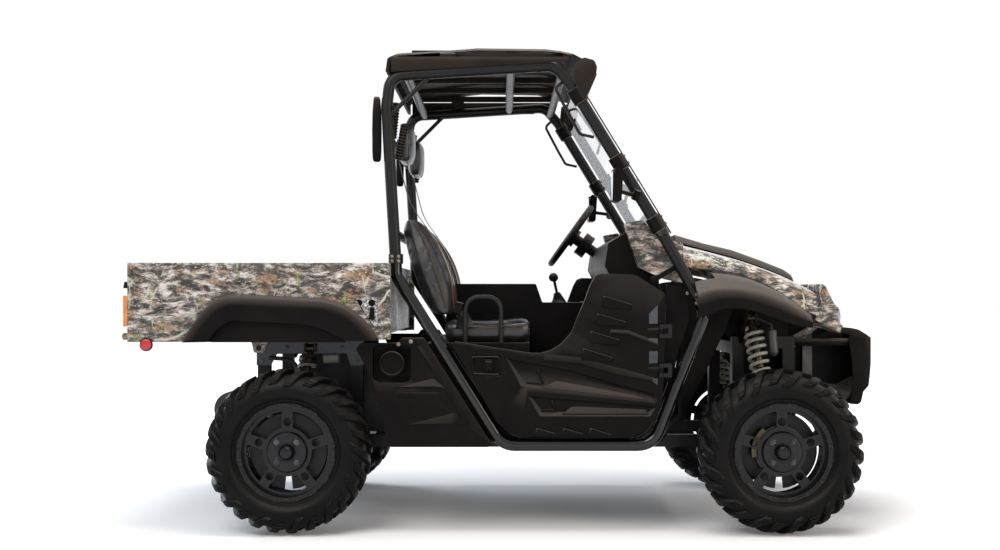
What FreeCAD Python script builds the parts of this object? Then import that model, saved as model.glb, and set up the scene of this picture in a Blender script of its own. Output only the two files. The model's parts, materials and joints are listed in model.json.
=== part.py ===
# Side by side utility vehicle with a tipping cargo bed, an open roll cage and half doors.
# Lengths are millimetres. +X is forward, +Y the vehicle's left, +Z up. The ground is Z = 0.
# Every X below is measured from the rear axle. put() shifts it to the middle of the vehicle's length.
import FreeCAD, Part
import math
import os

V = FreeCAD.Vector

# Overall size
REAR_END = -640.0
FRONT_END = 2388.0
SHIFT_X = -(REAR_END + FRONT_END) / 2
WHEELBASE = 1925.0
SEAT_GAP = 0.3  # between pieces that rest against each other
PANEL = 5.0  # moulded plastic wall
RUNNING_GAP = 0.3  # between a shaft and its bore

# Wheels
TYRE_RADIUS = 322.0
TYRE_OUTER_Y = 740.0
REAR_TYRE_WIDTH = 254.0
FRONT_TYRE_WIDTH = 215.0
BEAD_RADIUS = 180.0
BEAD_INSET = 32.0  # from the widest part of the tyre to the rim's inside
FLANGE_RADIUS = 192.0
FLANGE_WIDTH = 7.0
RIM_WALL = 6.0
DISC_DEPTH = 34.0  # of the spoked disc behind the rim's outer edge
DISC_THICKNESS = 10.0
CENTRE_DISC_RADIUS = 81.0
HUB_CAP_RADIUS = 32.0
AXLE_RADIUS = 18.0
SPOKES = 5
WINDOW_INNER = 95.0
WINDOW_OUTER = 158.0
SPOKE_WIDTH = 42.0
SPOKE_HOLE_RADIUS = 16.0
SPOKE_HOLE_AT = 117.0

# Steering
KINGPIN_Y = 580.0
KNUCKLE_TOP = 412.0
KNUCKLE_BOTTOM = 232.0
STEER_ARM = 110.0
TIE_ROD_Z = 385.0
TIE_ROD_DIAMETER = 20.0
TIE_ROD_EYE = 28.0
STEERING_WHEEL_AT = V(1156, 300, 1208)
STEERING_WHEEL_DIAMETER = 342.0
COLUMN_TILT = 35.6  # degrees between the column and the horizontal
COLUMN_RADIUS = 24.0

UPPER_ARM_Z = 450.0
LOWER_ARM_Z = 325.0
SHOCK_EYE = 17.0
SHOCK_EYE_HALF = 16.0
FRONT_SHOCK_TOP = V(1868, -345, 838)
FRONT_SHOCK_LOW = V(1915, -455, 466)
REAR_SHOCK_TOP = V(40, -345, 712)
REAR_SHOCK_LOW = V(5, -455, 440)

# Frame
DRIVE_Z = 415.0  # height of the engine's and front axle's output shafts
OUTRIGGER_RADIUS = 12.0
RAIL_Y = 300.0
RAIL = 50.0
RAIL_Z = 300.0
TOWER_TOP = 737.0
SIDE_TUBE = 48.0
SIDE_TUBE_Y = 620.0
SILL_Z = 342.0
CAGE_TUBE = 46.0
CAGE_LOW_Y = 600.0
CAGE_HIGH_Y = 585.0
COUPLER_Z = 1056.0
PILLAR_LOW = V(1468, 0, 1179)
PILLAR_HIGH = V(1110, 0, 1765)
PILLAR_LOW_Y = 596.0
SCREEN_OFFSET = 4.0  # from the pillar tube to the sheet
SCREEN_LOW_Y = 602.0
SCREEN_HIGH_Y = 590.0
CLAMPS_AT = (0.06, 0.47, 0.93)  # share of the pillar's length from its lower end
FOOT = V(1612, 0, 917)

# Cargo bed
BED_REAR = -617.0
BED_FRONT = 402.0
BED_FRONT_WALL = 378.0
BED_TOP = 1057.0
BED_BOTTOM = 750.0
BED_Y = 700.0
BED_WALL = 38.0
BED_FLOOR_Z = 775.0
BED_FLOOR = 18.0
BED_PIVOT = V(-175, 0, 712)
TAILGATE_PIVOT = V(-625, 0, 771)
TAILGATE_THICKNESS = 35.0
TAILGATE_TOP = 1050.0
HINGE_PIN = 6.0
BED_PIN = 10.0

# Cab
FLOOR_Z = 362.0
FLOOR_SHEET = 8.0
CAB_Y = 590.0
DOOR_OUT_Y = 650.0
DOOR_THICKNESS = 45.0
DOOR_HINGE = V(1458, -655, 0)
HINGE_BARREL = 9.0
KICK_Y = 594.0
COWL_IN_Y = 520.0
SEAT_TOP = 843.0
SEAT_BASE_TOP = 742.0
SEAT_BASE_FRONT = 945.0
SEAT_IN_Y = 126.0
SEAT_OUT_Y = 560.0
CONSOLE_Y = 125.0
ROOF_Y = 613.0
ROOF_WALL = 4.5
HOOD_Y = 470.0
FENDER_SHELF_Y = 652.0
HOOD_PIVOT = V(2127, 0, 955)
HOOD_LUG_Y = 200.0
HOOD_TOP = [(1600, 1138), (1799, 1085), (1960, 1030), (2062, 985)]
DOOR_HINGES = (611.0, 764.0)  # the lower end of each hinge
DOOR_HINGE_HEIGHT = 54.0
LAMP = [(2180, 884), (2211, 884), (2249, 817), (2204, 800)]
LAMP_Y0 = 300.0
LAMP_Y1 = 425.0


def corner_path(points, radius):
    """Edges of straight runs joined by tangent arcs, for 3-D points; ends stay sharp."""
    edges = []
    start = points[0]
    for before, at, after in zip(points, points[1:], points[2:]):
        along_in = (at - before).normalize()
        along_out = (after - at).normalize()
        turn = along_in.getAngle(along_out)
        run = min((at - before).Length, (after - at).Length)
        arc_radius = min(radius, 0.45 * run / math.tan(turn / 2))
        cut = arc_radius * math.tan(turn / 2)
        arc_start = at - along_in * cut
        arc_end = at + along_out * cut
        middle = (along_out - along_in).normalize()
        arc_middle = at + middle * (arc_radius / math.cos(turn / 2) - arc_radius)
        edges.append(Part.LineSegment(start, arc_start).toShape())
        edges.append(Part.Arc(arc_start, arc_middle, arc_end).toShape())
        start = arc_end
    edges.append(Part.LineSegment(start, points[-1]).toShape())
    return edges


def tube(points, diameter, bend=60.0):
    """A round bar along straight runs with bends."""
    path = Part.Wire(corner_path(points, bend))
    direction = points[1] - points[0]
    circle = Part.Wire(Part.makeCircle(diameter / 2, points[0], direction))
    return path.makePipeShell([circle], True, False)


def rod(start, end, radius):
    return Part.makeCylinder(radius, (end - start).Length, start, end - start)


def block(x0, x1, y0, y1, z0, z1):
    return Part.makeBox(x1 - x0, y1 - y0, z1 - z0, V(x0, y0, z0))


def rounded_outline(points, radius, place):
    """A closed wire through 2-D points with rounded corners. place turns (u, v) into a vector."""
    at = [place(u, v) for u, v in points]
    edges = []
    ends = []
    for before, corner, after in zip(at[-1:] + at[:-1], at, at[1:] + at[:1]):
        along_in = (corner - before).normalize()
        along_out = (after - corner).normalize()
        turn = along_in.getAngle(along_out)
        run = min((corner - before).Length, (after - corner).Length)
        arc_radius = min(radius, 0.45 * run / math.tan(turn / 2)) if turn > 0.02 else 0.0
        cut = arc_radius * math.tan(turn / 2)
        first = corner - along_in * cut
        last = corner + along_out * cut
        if arc_radius > 0.5:
            middle = (along_out - along_in).normalize()
            arc_middle = corner + middle * (arc_radius / math.cos(turn / 2) - arc_radius)
            ends.append((first, last, Part.Arc(first, arc_middle, last).toShape()))
        else:
            ends.append((corner, corner, None))
    for this, following in zip(ends, ends[1:] + ends[:1]):
        if this[2]:
            edges.append(this[2])
        edges.append(Part.LineSegment(this[1], following[0]).toShape())
    return Part.Wire(edges)


def side_plate(points, y0, y1, radius=0.0, grow=0.0):
    """An outline seen from the side, (X, Z), made solid between two Y values."""
    wire = rounded_outline(points, radius, lambda u, v: V(u, y0, v))
    face = Part.Face(wire)
    if grow:
        face = face.makeOffset2D(grow)
    return face.extrude(V(0, y1 - y0, 0))


def top_plate(points, z0, z1, radius=0.0):
    """An outline seen from above, (X, Y), made solid between two heights."""
    wire = rounded_outline(points, radius, lambda u, v: V(u, v, z0))
    return Part.Face(wire).extrude(V(0, 0, z1 - z0))


def side_tray(points, y_out, y_in, wall, radius=0.0):
    """A moulded panel: a skin at y_out with a lip round its outline, open on the inside."""
    wire = rounded_outline(points, radius, lambda u, v: V(u, y_out, v))
    face = Part.Face(wire)
    toward = 1.0 if y_in > y_out else -1.0
    solid = face.extrude(V(0, y_in - y_out, 0))
    hollow = face.makeOffset2D(-wall)
    hollow.translate(V(0, toward * wall, 0))
    return solid.cut(hollow.extrude(V(0, y_in - y_out, 0)))


def mirrored(shape):
    return shape.mirror(V(0, 0, 0), V(0, 1, 0))


def both(shape):
    """The right-hand piece and its left-hand twin."""
    return [shape, mirrored(shape)]


def fused(shapes):
    first = shapes[0]
    return first.fuse(shapes[1:]).removeSplitter() if len(shapes) > 1 else first


def put(name, shapes):
    """Write one node, with the vehicle's middle at X = 0."""
    solids = []
    for shape in shapes:
        solids.extend(shape.Solids)
    moved = Part.makeCompound(solids) if len(solids) > 1 else solids[0].copy()
    moved.translate(V(SHIFT_X, 0, 0))
    moved.exportStep("parts/" + name + ".step")
    print(name, len(solids), round(moved.Volume / 1e6, 2), moved.isValid())


def spin(profile, middle):
    """Revolve an (r, y) outline about the wheel's axis, then put it at middle."""
    at = [V(r, y, 0) for r, y in profile]
    face = Part.Face(Part.makePolygon(at + at[:1]))
    solid = face.revolve(V(0, 0, 0), V(0, 1, 0), 360)
    solid.translate(middle)
    return solid


def tyre(width, middle):
    half = width / 2
    bead = half - BEAD_INSET
    bore = BEAD_RADIUS + SEAT_GAP
    side = TYRE_RADIUS * 0.78
    outside = [
        (bore, bead),
        (FLANGE_RADIUS + 3, bead),
        (side, half),
        (TYRE_RADIUS - 30, half - 4),
        (TYRE_RADIUS - 8, half - 24),
        (TYRE_RADIUS, half - 52),
    ]
    wall = 16.0
    cavity = [(bore, bead - wall), (side, half - wall), (TYRE_RADIUS - 42, half - 2.5 * wall)]
    mirror_out = [(r, -y) for r, y in reversed(outside)]
    mirror_in = [(r, -y) for r, y in cavity]
    return spin(outside + mirror_out + mirror_in + list(reversed(cavity)), middle)


def rim(width, middle):
    """A right-hand rim; its open face is towards -Y."""
    half = width / 2 - BEAD_INSET
    edge = half + FLANGE_WIDTH
    inner = BEAD_RADIUS - RIM_WALL
    barrel = [
        (inner, -edge),
        (FLANGE_RADIUS, -edge),
        (FLANGE_RADIUS, -half - SEAT_GAP),
        (BEAD_RADIUS, -half - SEAT_GAP),
        (BEAD_RADIUS, half + SEAT_GAP),
        (FLANGE_RADIUS, half + SEAT_GAP),
        (FLANGE_RADIUS, edge),
        (inner, edge),
    ]
    face_y = -edge + DISC_DEPTH
    back_y = face_y + DISC_THICKNESS
    bore = AXLE_RADIUS + RUNNING_GAP
    disc = [
        (bore, back_y),
        (bore, face_y - 14),
        (CENTRE_DISC_RADIUS - 6, face_y - 14),
        (CENTRE_DISC_RADIUS, face_y),
        (inner + 1, face_y),
        (inner + 1, back_y),
    ]
    cap = [(0, face_y - 40), (HUB_CAP_RADIUS - 8, face_y - 40), (HUB_CAP_RADIUS, face_y - 14), (0, face_y - 14)]
    wheel = fused([spin(barrel, V(0, 0, 0)), spin(disc, V(0, 0, 0)), spin(cap, V(0, 0, 0))])
    ring = Part.makeCylinder(WINDOW_OUTER, 40, V(0, face_y - 20, 0), V(0, 1, 0))
    ring = ring.cut(Part.makeCylinder(WINDOW_INNER, 40, V(0, face_y - 20, 0), V(0, 1, 0)))
    spokes = []
    holes = []
    for number in range(SPOKES):
        angle = 90 + number * 360 / SPOKES
        bar = block(0, WINDOW_OUTER + 10, face_y - 20, face_y + 20, -SPOKE_WIDTH / 2, SPOKE_WIDTH / 2)
        bar.rotate(V(0, 0, 0), V(0, 1, 0), -angle)
        spokes.append(bar)
        hole = Part.makeCylinder(SPOKE_HOLE_RADIUS, 40, V(SPOKE_HOLE_AT, face_y - 20, 0), V(0, 1, 0))
        hole.rotate(V(0, 0, 0), V(0, 1, 0), -angle)
        holes.append(hole)
    wheel = wheel.cut(ring.cut(spokes))
    wheel = wheel.cut(holes)
    wheel.translate(middle)
    return wheel.removeSplitter()


def wheels():
    front_y = TYRE_OUTER_Y - FRONT_TYRE_WIDTH / 2
    rear_y = TYRE_OUTER_Y - REAR_TYRE_WIDTH / 2
    for place, width, x, y in (
        ("front", FRONT_TYRE_WIDTH, WHEELBASE, front_y),
        ("rear", REAR_TYRE_WIDTH, 0.0, rear_y),
    ):
        right_tyre = tyre(width, V(x, -y, TYRE_RADIUS))
        right_rim = rim(width, V(x, -y, TYRE_RADIUS))
        put("tyre_" + place + "_right", [right_tyre])
        put("tyre_" + place + "_left", [mirrored(right_tyre)])
        put("rim_" + place + "_right", [right_rim])
        put("rim_" + place + "_left", [mirrored(right_rim)])


def stub_axle(x, width, inboard_y):
    """The hub's shaft from inboard_y out to the disc's raised centre."""
    disc_face = -(TYRE_OUTER_Y - width / 2) - (width / 2 - BEAD_INSET + FLANGE_WIDTH) + DISC_DEPTH
    shaft = rod(V(x, inboard_y, TYRE_RADIUS), V(x, disc_face - 13, TYRE_RADIUS), AXLE_RADIUS)
    back = disc_face + DISC_THICKNESS + SEAT_GAP
    flange = rod(V(x, back + 8, TYRE_RADIUS), V(x, back, TYRE_RADIUS), 62)
    boss = rod(V(x, inboard_y, TYRE_RADIUS), V(x, back + 4, TYRE_RADIUS), 34)
    return [shaft, flange, boss]


def front_knuckle():
    """Right-hand steering knuckle: two eyes on the kingpin line, a back plate and a steering arm."""
    x = WHEELBASE
    y = -KINGPIN_Y
    eye_height = 20.0
    top_eye = Part.makeCylinder(22, eye_height, V(x, y, KNUCKLE_TOP - eye_height))
    low_eye = Part.makeCylinder(22, eye_height, V(x, y, KNUCKLE_BOTTOM))
    top_pin = Part.makeCylinder(8, 17, V(x, y, KNUCKLE_TOP))
    low_pin = Part.makeCylinder(8, 17, V(x, y, KNUCKLE_BOTTOM - 17))
    plate = block(x - 34, x + 34, y - 45, y - 27, KNUCKLE_BOTTOM, KNUCKLE_TOP)
    top_arm = block(x - 20, x + 20, y - 40, y, KNUCKLE_TOP - eye_height, KNUCKLE_TOP)
    low_arm = block(x - 20, x + 20, y - 40, y, KNUCKLE_BOTTOM, KNUCKLE_BOTTOM + eye_height)
    arm_top = TIE_ROD_Z - TIE_ROD_EYE / 2 - 4
    arm_points = [
        (x, y - 45),
        (x, y - 27),
        (x - STEER_ARM + 16, y + 34),
        (x - STEER_ARM - 16, y + 34),
        (x - STEER_ARM - 16, y + 6),
    ]
    arm = top_plate(arm_points, arm_top - 16, arm_top, 8)
    return fused([top_eye, low_eye, top_pin, low_pin, plate, top_arm, low_arm, arm]
                 + stub_axle(x, FRONT_TYRE_WIDTH, y - 30))


def rear_carrier():
    outer = -545.0
    body = block(-42, 42, outer, outer + 45, TYRE_RADIUS - 88, TYRE_RADIUS + 88)
    return fused([body] + stub_axle(0.0, REAR_TYRE_WIDTH, outer))


def wishbone(pivot_x0, pivot_x1, pivot_z, tip_x, tip_y, tip_z, tube_size):
    """A right-hand A-arm: two pivot bushes beside the frame, two legs that meet at the tip."""
    bush = 18.0
    pivot_y = -(RAIL_Y + RAIL / 2 + bush + SEAT_GAP)
    pieces = []
    for pivot_x in (pivot_x0, pivot_x1):
        pieces.append(rod(V(pivot_x - 22, pivot_y, pivot_z), V(pivot_x + 22, pivot_y, pivot_z), bush))
        pieces.append(rod(V(pivot_x, pivot_y, pivot_z), V(tip_x, tip_y, tip_z), tube_size / 2))
    return pieces


def front_arms():
    tip = V(WHEELBASE, -KINGPIN_Y, 0)
    eye = 24.0
    bore = 8 + RUNNING_GAP
    upper_z = KNUCKLE_TOP + SEAT_GAP
    lower_z = KNUCKLE_BOTTOM - SEAT_GAP - 18
    upper = wishbone(1820, 2030, UPPER_ARM_Z, tip.x, tip.y, upper_z + 9, 26)
    upper.append(Part.makeCylinder(eye, 18, V(tip.x, tip.y, upper_z)))
    upper.append(shock_seat(FRONT_SHOCK_LOW, 62))
    lower = wishbone(1820, 2030, LOWER_ARM_Z, tip.x, tip.y, lower_z + 9, 26)
    lower.append(Part.makeCylinder(eye, 18, V(tip.x, tip.y, lower_z)))
    cleared = []
    for arm, z in ((upper, upper_z), (lower, lower_z)):
        shape = fused(arm)
        slab = block(tip.x - 60, tip.x + 60, tip.y - 40, tip.y + 40, z - 60, z)
        top = block(tip.x - 60, tip.x + 60, tip.y - 40, tip.y + 40, z + 18, z + 80)
        shape = shape.cut([slab, top, Part.makeCylinder(bore, 60, V(tip.x, tip.y, z - 20))])
        cleared.append(shape)
    shapes = []
    for arm in cleared:
        shapes += both(arm)
    put("front_arms", shapes)


def rear_arms():
    shapes = []
    for z, tip_z in ((UPPER_ARM_Z, 400), (LOWER_ARM_Z, 244)):
        pieces = wishbone(-157, 231, z, 0, -485, tip_z, 28)
        pieces.append(rod(V(-30, -485, tip_z), V(30, -485, tip_z), 14.5))
        if z == UPPER_ARM_Z:
            pieces.append(shock_seat(REAR_SHOCK_LOW, 45))
        shapes += both(fused(pieces))
    put("rear_arms", shapes)


def shock(top, bottom, spring_radius=36.0):
    """A coil-over: damper body, spring and eyes."""
    along = (bottom - top).normalize()
    damper = rod(top, bottom, 14)
    spring = rod(top + along * 60, bottom - along * 70, spring_radius)
    across = V(SHOCK_EYE_HALF, 0, 0)
    eye_top = rod(top - across, top + across, SHOCK_EYE)
    eye_bottom = rod(bottom - across, bottom + across, SHOCK_EYE)
    return fused([damper, spring, eye_top, eye_bottom])


def shock_seat(low, half_length):
    """The arm's cross tube that a shock absorber's lower eye rests on."""
    radius = 12.0
    z = low.z - SHOCK_EYE - SEAT_GAP - radius
    return rod(V(low.x - half_length, low.y, z), V(low.x + half_length, low.y, z), radius)


def shock_clevis(top, foot_z):
    """Two frame plates beside a right-hand shock absorber's upper eye."""
    plates = []
    for x in (top.x - SHOCK_EYE_HALF - SEAT_GAP - 8, top.x + SHOCK_EYE_HALF + SEAT_GAP):
        cheek = block(x, x + 8, top.y - SHOCK_EYE, -RAIL_Y, top.z - 16, top.z + 20)
        web = block(x, x + 8, -RAIL_Y - RAIL / 2, -RAIL_Y, foot_z, top.z)
        plates.append(cheek.fuse(web))
    return plates


def drive_shaft(inner, outer, radius, boot):
    """A half shaft with a rubber boot at each end; it passes over the frame rail."""
    along = (outer - inner).normalize()
    shaft = rod(inner, outer, radius)
    inner_boot = rod(inner, inner + along * 52, boot)
    outer_boot = rod(outer - along * 48, outer, boot)
    return fused([shaft, inner_boot, outer_boot])


def running_gear():
    put("knuckle_front_right", [front_knuckle()])
    put("knuckle_front_left", [mirrored(front_knuckle())])
    put("rear_hubs", both(rear_carrier()))
    front_arms()
    rear_arms()
    front_shock = shock(FRONT_SHOCK_TOP, FRONT_SHOCK_LOW)
    rear_shock = shock(REAR_SHOCK_TOP, REAR_SHOCK_LOW)
    put("shock_absorbers", both(front_shock) + both(rear_shock))
    bar_x = WHEELBASE - STEER_ARM
    ends = []
    for side in (-1, 1):
        ends.append(Part.makeCylinder(15, TIE_ROD_EYE, V(bar_x, side * 560, TIE_ROD_Z - TIE_ROD_EYE / 2)))
    bar = rod(V(bar_x, -560, TIE_ROD_Z), V(bar_x, 560, TIE_ROD_Z), TIE_ROD_DIAMETER / 2)
    put("tie_rods", [fused([bar] + ends)])
    shafts = []
    housing = block(1845 + SEAT_GAP, 2005 - SEAT_GAP, -110, 110, RAIL_Z + RAIL - 5, 472)
    rear_shaft = drive_shaft(V(0, -201, DRIVE_Z), V(0, -489.4, TYRE_RADIUS), 13, 34)
    front_shaft = drive_shaft(V(WHEELBASE, -112, DRIVE_Z), V(WHEELBASE, -556, TYRE_RADIUS), 12, 26)
    shafts += both(rear_shaft) + [fused([housing] + both(front_shaft))]
    put("drive_shafts", shafts)


def chassis_frame():
    """Two box rails, cross members, the rear and front towers and the sill outriggers."""
    pieces = []
    half = RAIL / 2
    top = RAIL_Z + RAIL
    for side in (-1, 1):
        y0 = side * RAIL_Y - half
        y1 = side * RAIL_Y + half
        pieces.append(block(-182, 2060, y0, y1, RAIL_Z, top))
        for x in (-182, 206):
            pieces.append(block(x, x + RAIL, y0, y1, top, TOWER_TOP))
        pieces.append(block(-182, 256, y0, y1, TOWER_TOP - RAIL, TOWER_TOP))
        pieces.append(block(206, 256, y0, y1, TOWER_TOP, BED_FLOOR_Z - SEAT_GAP))
        for x in (1795, 2005):
            pieces.append(block(x, x + RAIL, y0, y1, top, 760))
        pieces.append(block(1795, 2055, y0, y1, 710, 760))
        for x in (880, 1360):
            z = FLOOR_Z - FLOOR_SHEET - OUTRIGGER_RADIUS - SEAT_GAP
            end_y = SIDE_TUBE_Y - SIDE_TUBE / 2 - SEAT_GAP
            pieces.append(rod(V(x, side * RAIL_Y, z), V(x, side * end_y, z), OUTRIGGER_RADIUS))
    for x in (-182, 206, 560, 1000, 1380, 2005):
        pieces.append(block(x, x + RAIL, -RAIL_Y, RAIL_Y, RAIL_Z, top))
    for x in (-182, 1795, 2005):
        pieces.append(block(x, x + RAIL, -RAIL_Y, RAIL_Y, TOWER_TOP - RAIL, TOWER_TOP))
    pieces += shock_clevis(FRONT_SHOCK_TOP, 730) + shock_clevis(REAR_SHOCK_TOP, 700)
    pieces += [mirrored(plate) for plate in pieces[-4:]]
    frame = fused(pieces)
    bar_x = WHEELBASE - STEER_ARM
    clearance = rod(V(bar_x, -400, TIE_ROD_Z), V(bar_x, 400, TIE_ROD_Z), TIE_ROD_DIAMETER / 2 + RUNNING_GAP)
    frame = frame.cut(clearance)
    pins = []
    for side in (-1, 1):
        inner = V(BED_PIVOT.x, side * (RAIL_Y + half), BED_PIVOT.z)
        outer = V(BED_PIVOT.x, side * (RAIL_Y + half + 20), BED_PIVOT.z)
        pins.append(rod(inner, outer, BED_PIN))
    put("chassis_frame", [fused([frame] + pins)])


def side_tubes():
    y = -SIDE_TUBE_Y
    low = -CAGE_LOW_Y
    path = [
        V(416, low, COUPLER_Z - SEAT_GAP),
        V(416, low, 1010),
        V(604, y, 716),
        V(836, y, SILL_Z),
        V(1432, y, SILL_Z),
        V(1533, y, 601),
        V(1636, y + 8, 855),
        V(FOOT.x - 8, low + 1, FOOT.z + 25),
    ]
    above = block(FOOT.x - 90, FOOT.x + 90, low - 80, low + 80, FOOT.z - SEAT_GAP, FOOT.z + 90)
    put("side_tubes", both(tube(path, SIDE_TUBE, 90).cut(above)))


def cage_side(side, diameter):
    """One side of the cage: windscreen pillar, roof rail and rear post in one bent tube."""
    low = side * CAGE_LOW_Y
    high = side * CAGE_HIGH_Y
    path = [
        V(FOOT.x + 22, side * (CAGE_LOW_Y + 1), FOOT.z - 40),
        V(PILLAR_LOW.x, side * PILLAR_LOW_Y, PILLAR_LOW.z),
        V(PILLAR_HIGH.x, high, PILLAR_HIGH.z),
        V(1045, high, 1843),
        V(392, high, 1802),
        V(379, high, 1682),
        V(396, side * 592, 1379),
        V(417, low, COUPLER_Z - 16),
    ]
    below_foot = block(FOOT.x - 90, FOOT.x + 90, low - 80, low + 80, FOOT.z - 100, FOOT.z)
    below_coupler = block(380, 460, low - 80, low + 80, COUPLER_Z - 60, COUPLER_Z)
    return tube(path, diameter, 70).cut([below_foot, below_coupler])


def cage_clearance():
    """What a piece that is clamped to the right-hand cage tube is cut with."""
    return cage_side(-1, CAGE_TUBE + 2 * SEAT_GAP)


def roll_cage():
    pieces = []
    for side in (-1, 1):
        low = side * CAGE_LOW_Y
        pieces.append(cage_side(side, CAGE_TUBE))
        pieces.append(Part.makeCylinder(29, 38, V(416, low, COUPLER_Z)))
        pieces.append(rod(V(388, side * 586, 1640), V(560, side * 585, 1812), 9))
    for x, z, radius in ((1072, 1808, 18), (870, 1831, 18), (460, 1805, 18), (381, 1560, 18), (405, 1180, 18)):
        pieces.append(rod(V(x, -CAGE_HIGH_Y, z), V(x, CAGE_HIGH_Y, z), radius))
    put("roll_cage", [fused(pieces)])


def roof():
    side = [
        (373, 1812), (1125, 1858), (1190, 1846), (1226, 1836), (1228, 1848),
        (1160, 1872), (1067, 1903), (1009, 1912), (737, 1916), (425, 1888), (382, 1868),
    ]
    plan = [(360, -ROOF_Y), (1100, -ROOF_Y), (1205, -520), (1236, -300), (1236, 300),
            (1205, 520), (1100, ROOF_Y), (360, ROOF_Y)]
    body = side_plate(side, -ROOF_Y, ROOF_Y, 8).common(top_plate(plan, 1700, 2000, 60))
    hollow = [(390, 1800), (1210, 1800), (1150, 1866), (1067, 1893), (1009, 1902), (737, 1906), (430, 1878),
              (390, 1862)]
    inner = side_plate(hollow, -ROOF_Y + ROOF_WALL, ROOF_Y - ROOF_WALL, 6)
    roof_shell = body.cut(inner)
    pads = []
    for x in (620, 960):
        pad = block(x - 30, x + 30, -CAGE_HIGH_Y - 12, -CAGE_HIGH_Y + 12, 1815, 1893)
        pads += both(pad.cut(cage_clearance()).Solids[0])
    ribs = []
    for y in (-420, -140, 140, 420):
        ribs.append(block(470, 1000, y - 45, y + 45, 1900, 1925))
    put("roof", [fused([roof_shell] + ribs + pads)])


def windshield():
    """A clear sheet in front of both pillars, held by three clamps a side."""
    along = (PILLAR_HIGH - PILLAR_LOW).normalize()
    out = V(along.z, 0, -along.x)
    low = PILLAR_LOW + out * (CAGE_TUBE / 2 + SCREEN_OFFSET) - along * 20
    high = PILLAR_HIGH + out * (CAGE_TUBE / 2 + SCREEN_OFFSET)
    wire = Part.makePolygon([
        V(low.x, -SCREEN_LOW_Y, low.z), V(low.x, SCREEN_LOW_Y, low.z), V(high.x, SCREEN_HIGH_Y, high.z),
        V(high.x, -SCREEN_HIGH_Y, high.z), V(low.x, -SCREEN_LOW_Y, low.z),
    ])
    put("windshield", [Part.Face(wire).extrude(out * PANEL)])
    clamps = []
    for share in CLAMPS_AT:
        at = PILLAR_LOW + (PILLAR_HIGH - PILLAR_LOW) * share
        y = -(PILLAR_LOW_Y + (CAGE_HIGH_Y - PILLAR_LOW_Y) * share)
        start = V(at.x, y, at.z) - along * 30
        sleeve = rod(start, start + along * 60, CAGE_TUBE / 2 + 8)
        beyond = sleeve.BoundBox.Center + out * (CAGE_TUBE / 2 + SCREEN_OFFSET - SEAT_GAP)
        front = Part.makeBox(300, 300, 300, V(-150, -150, 0), V(0, 0, 1))
        front.rotate(V(0, 0, 0), V(0, 1, 0), math.degrees(math.atan2(out.x, out.z)))
        front.translate(beyond)
        clamps += both(sleeve.cut([cage_clearance(), front]))
    put("windshield_clamps", clamps)


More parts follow.
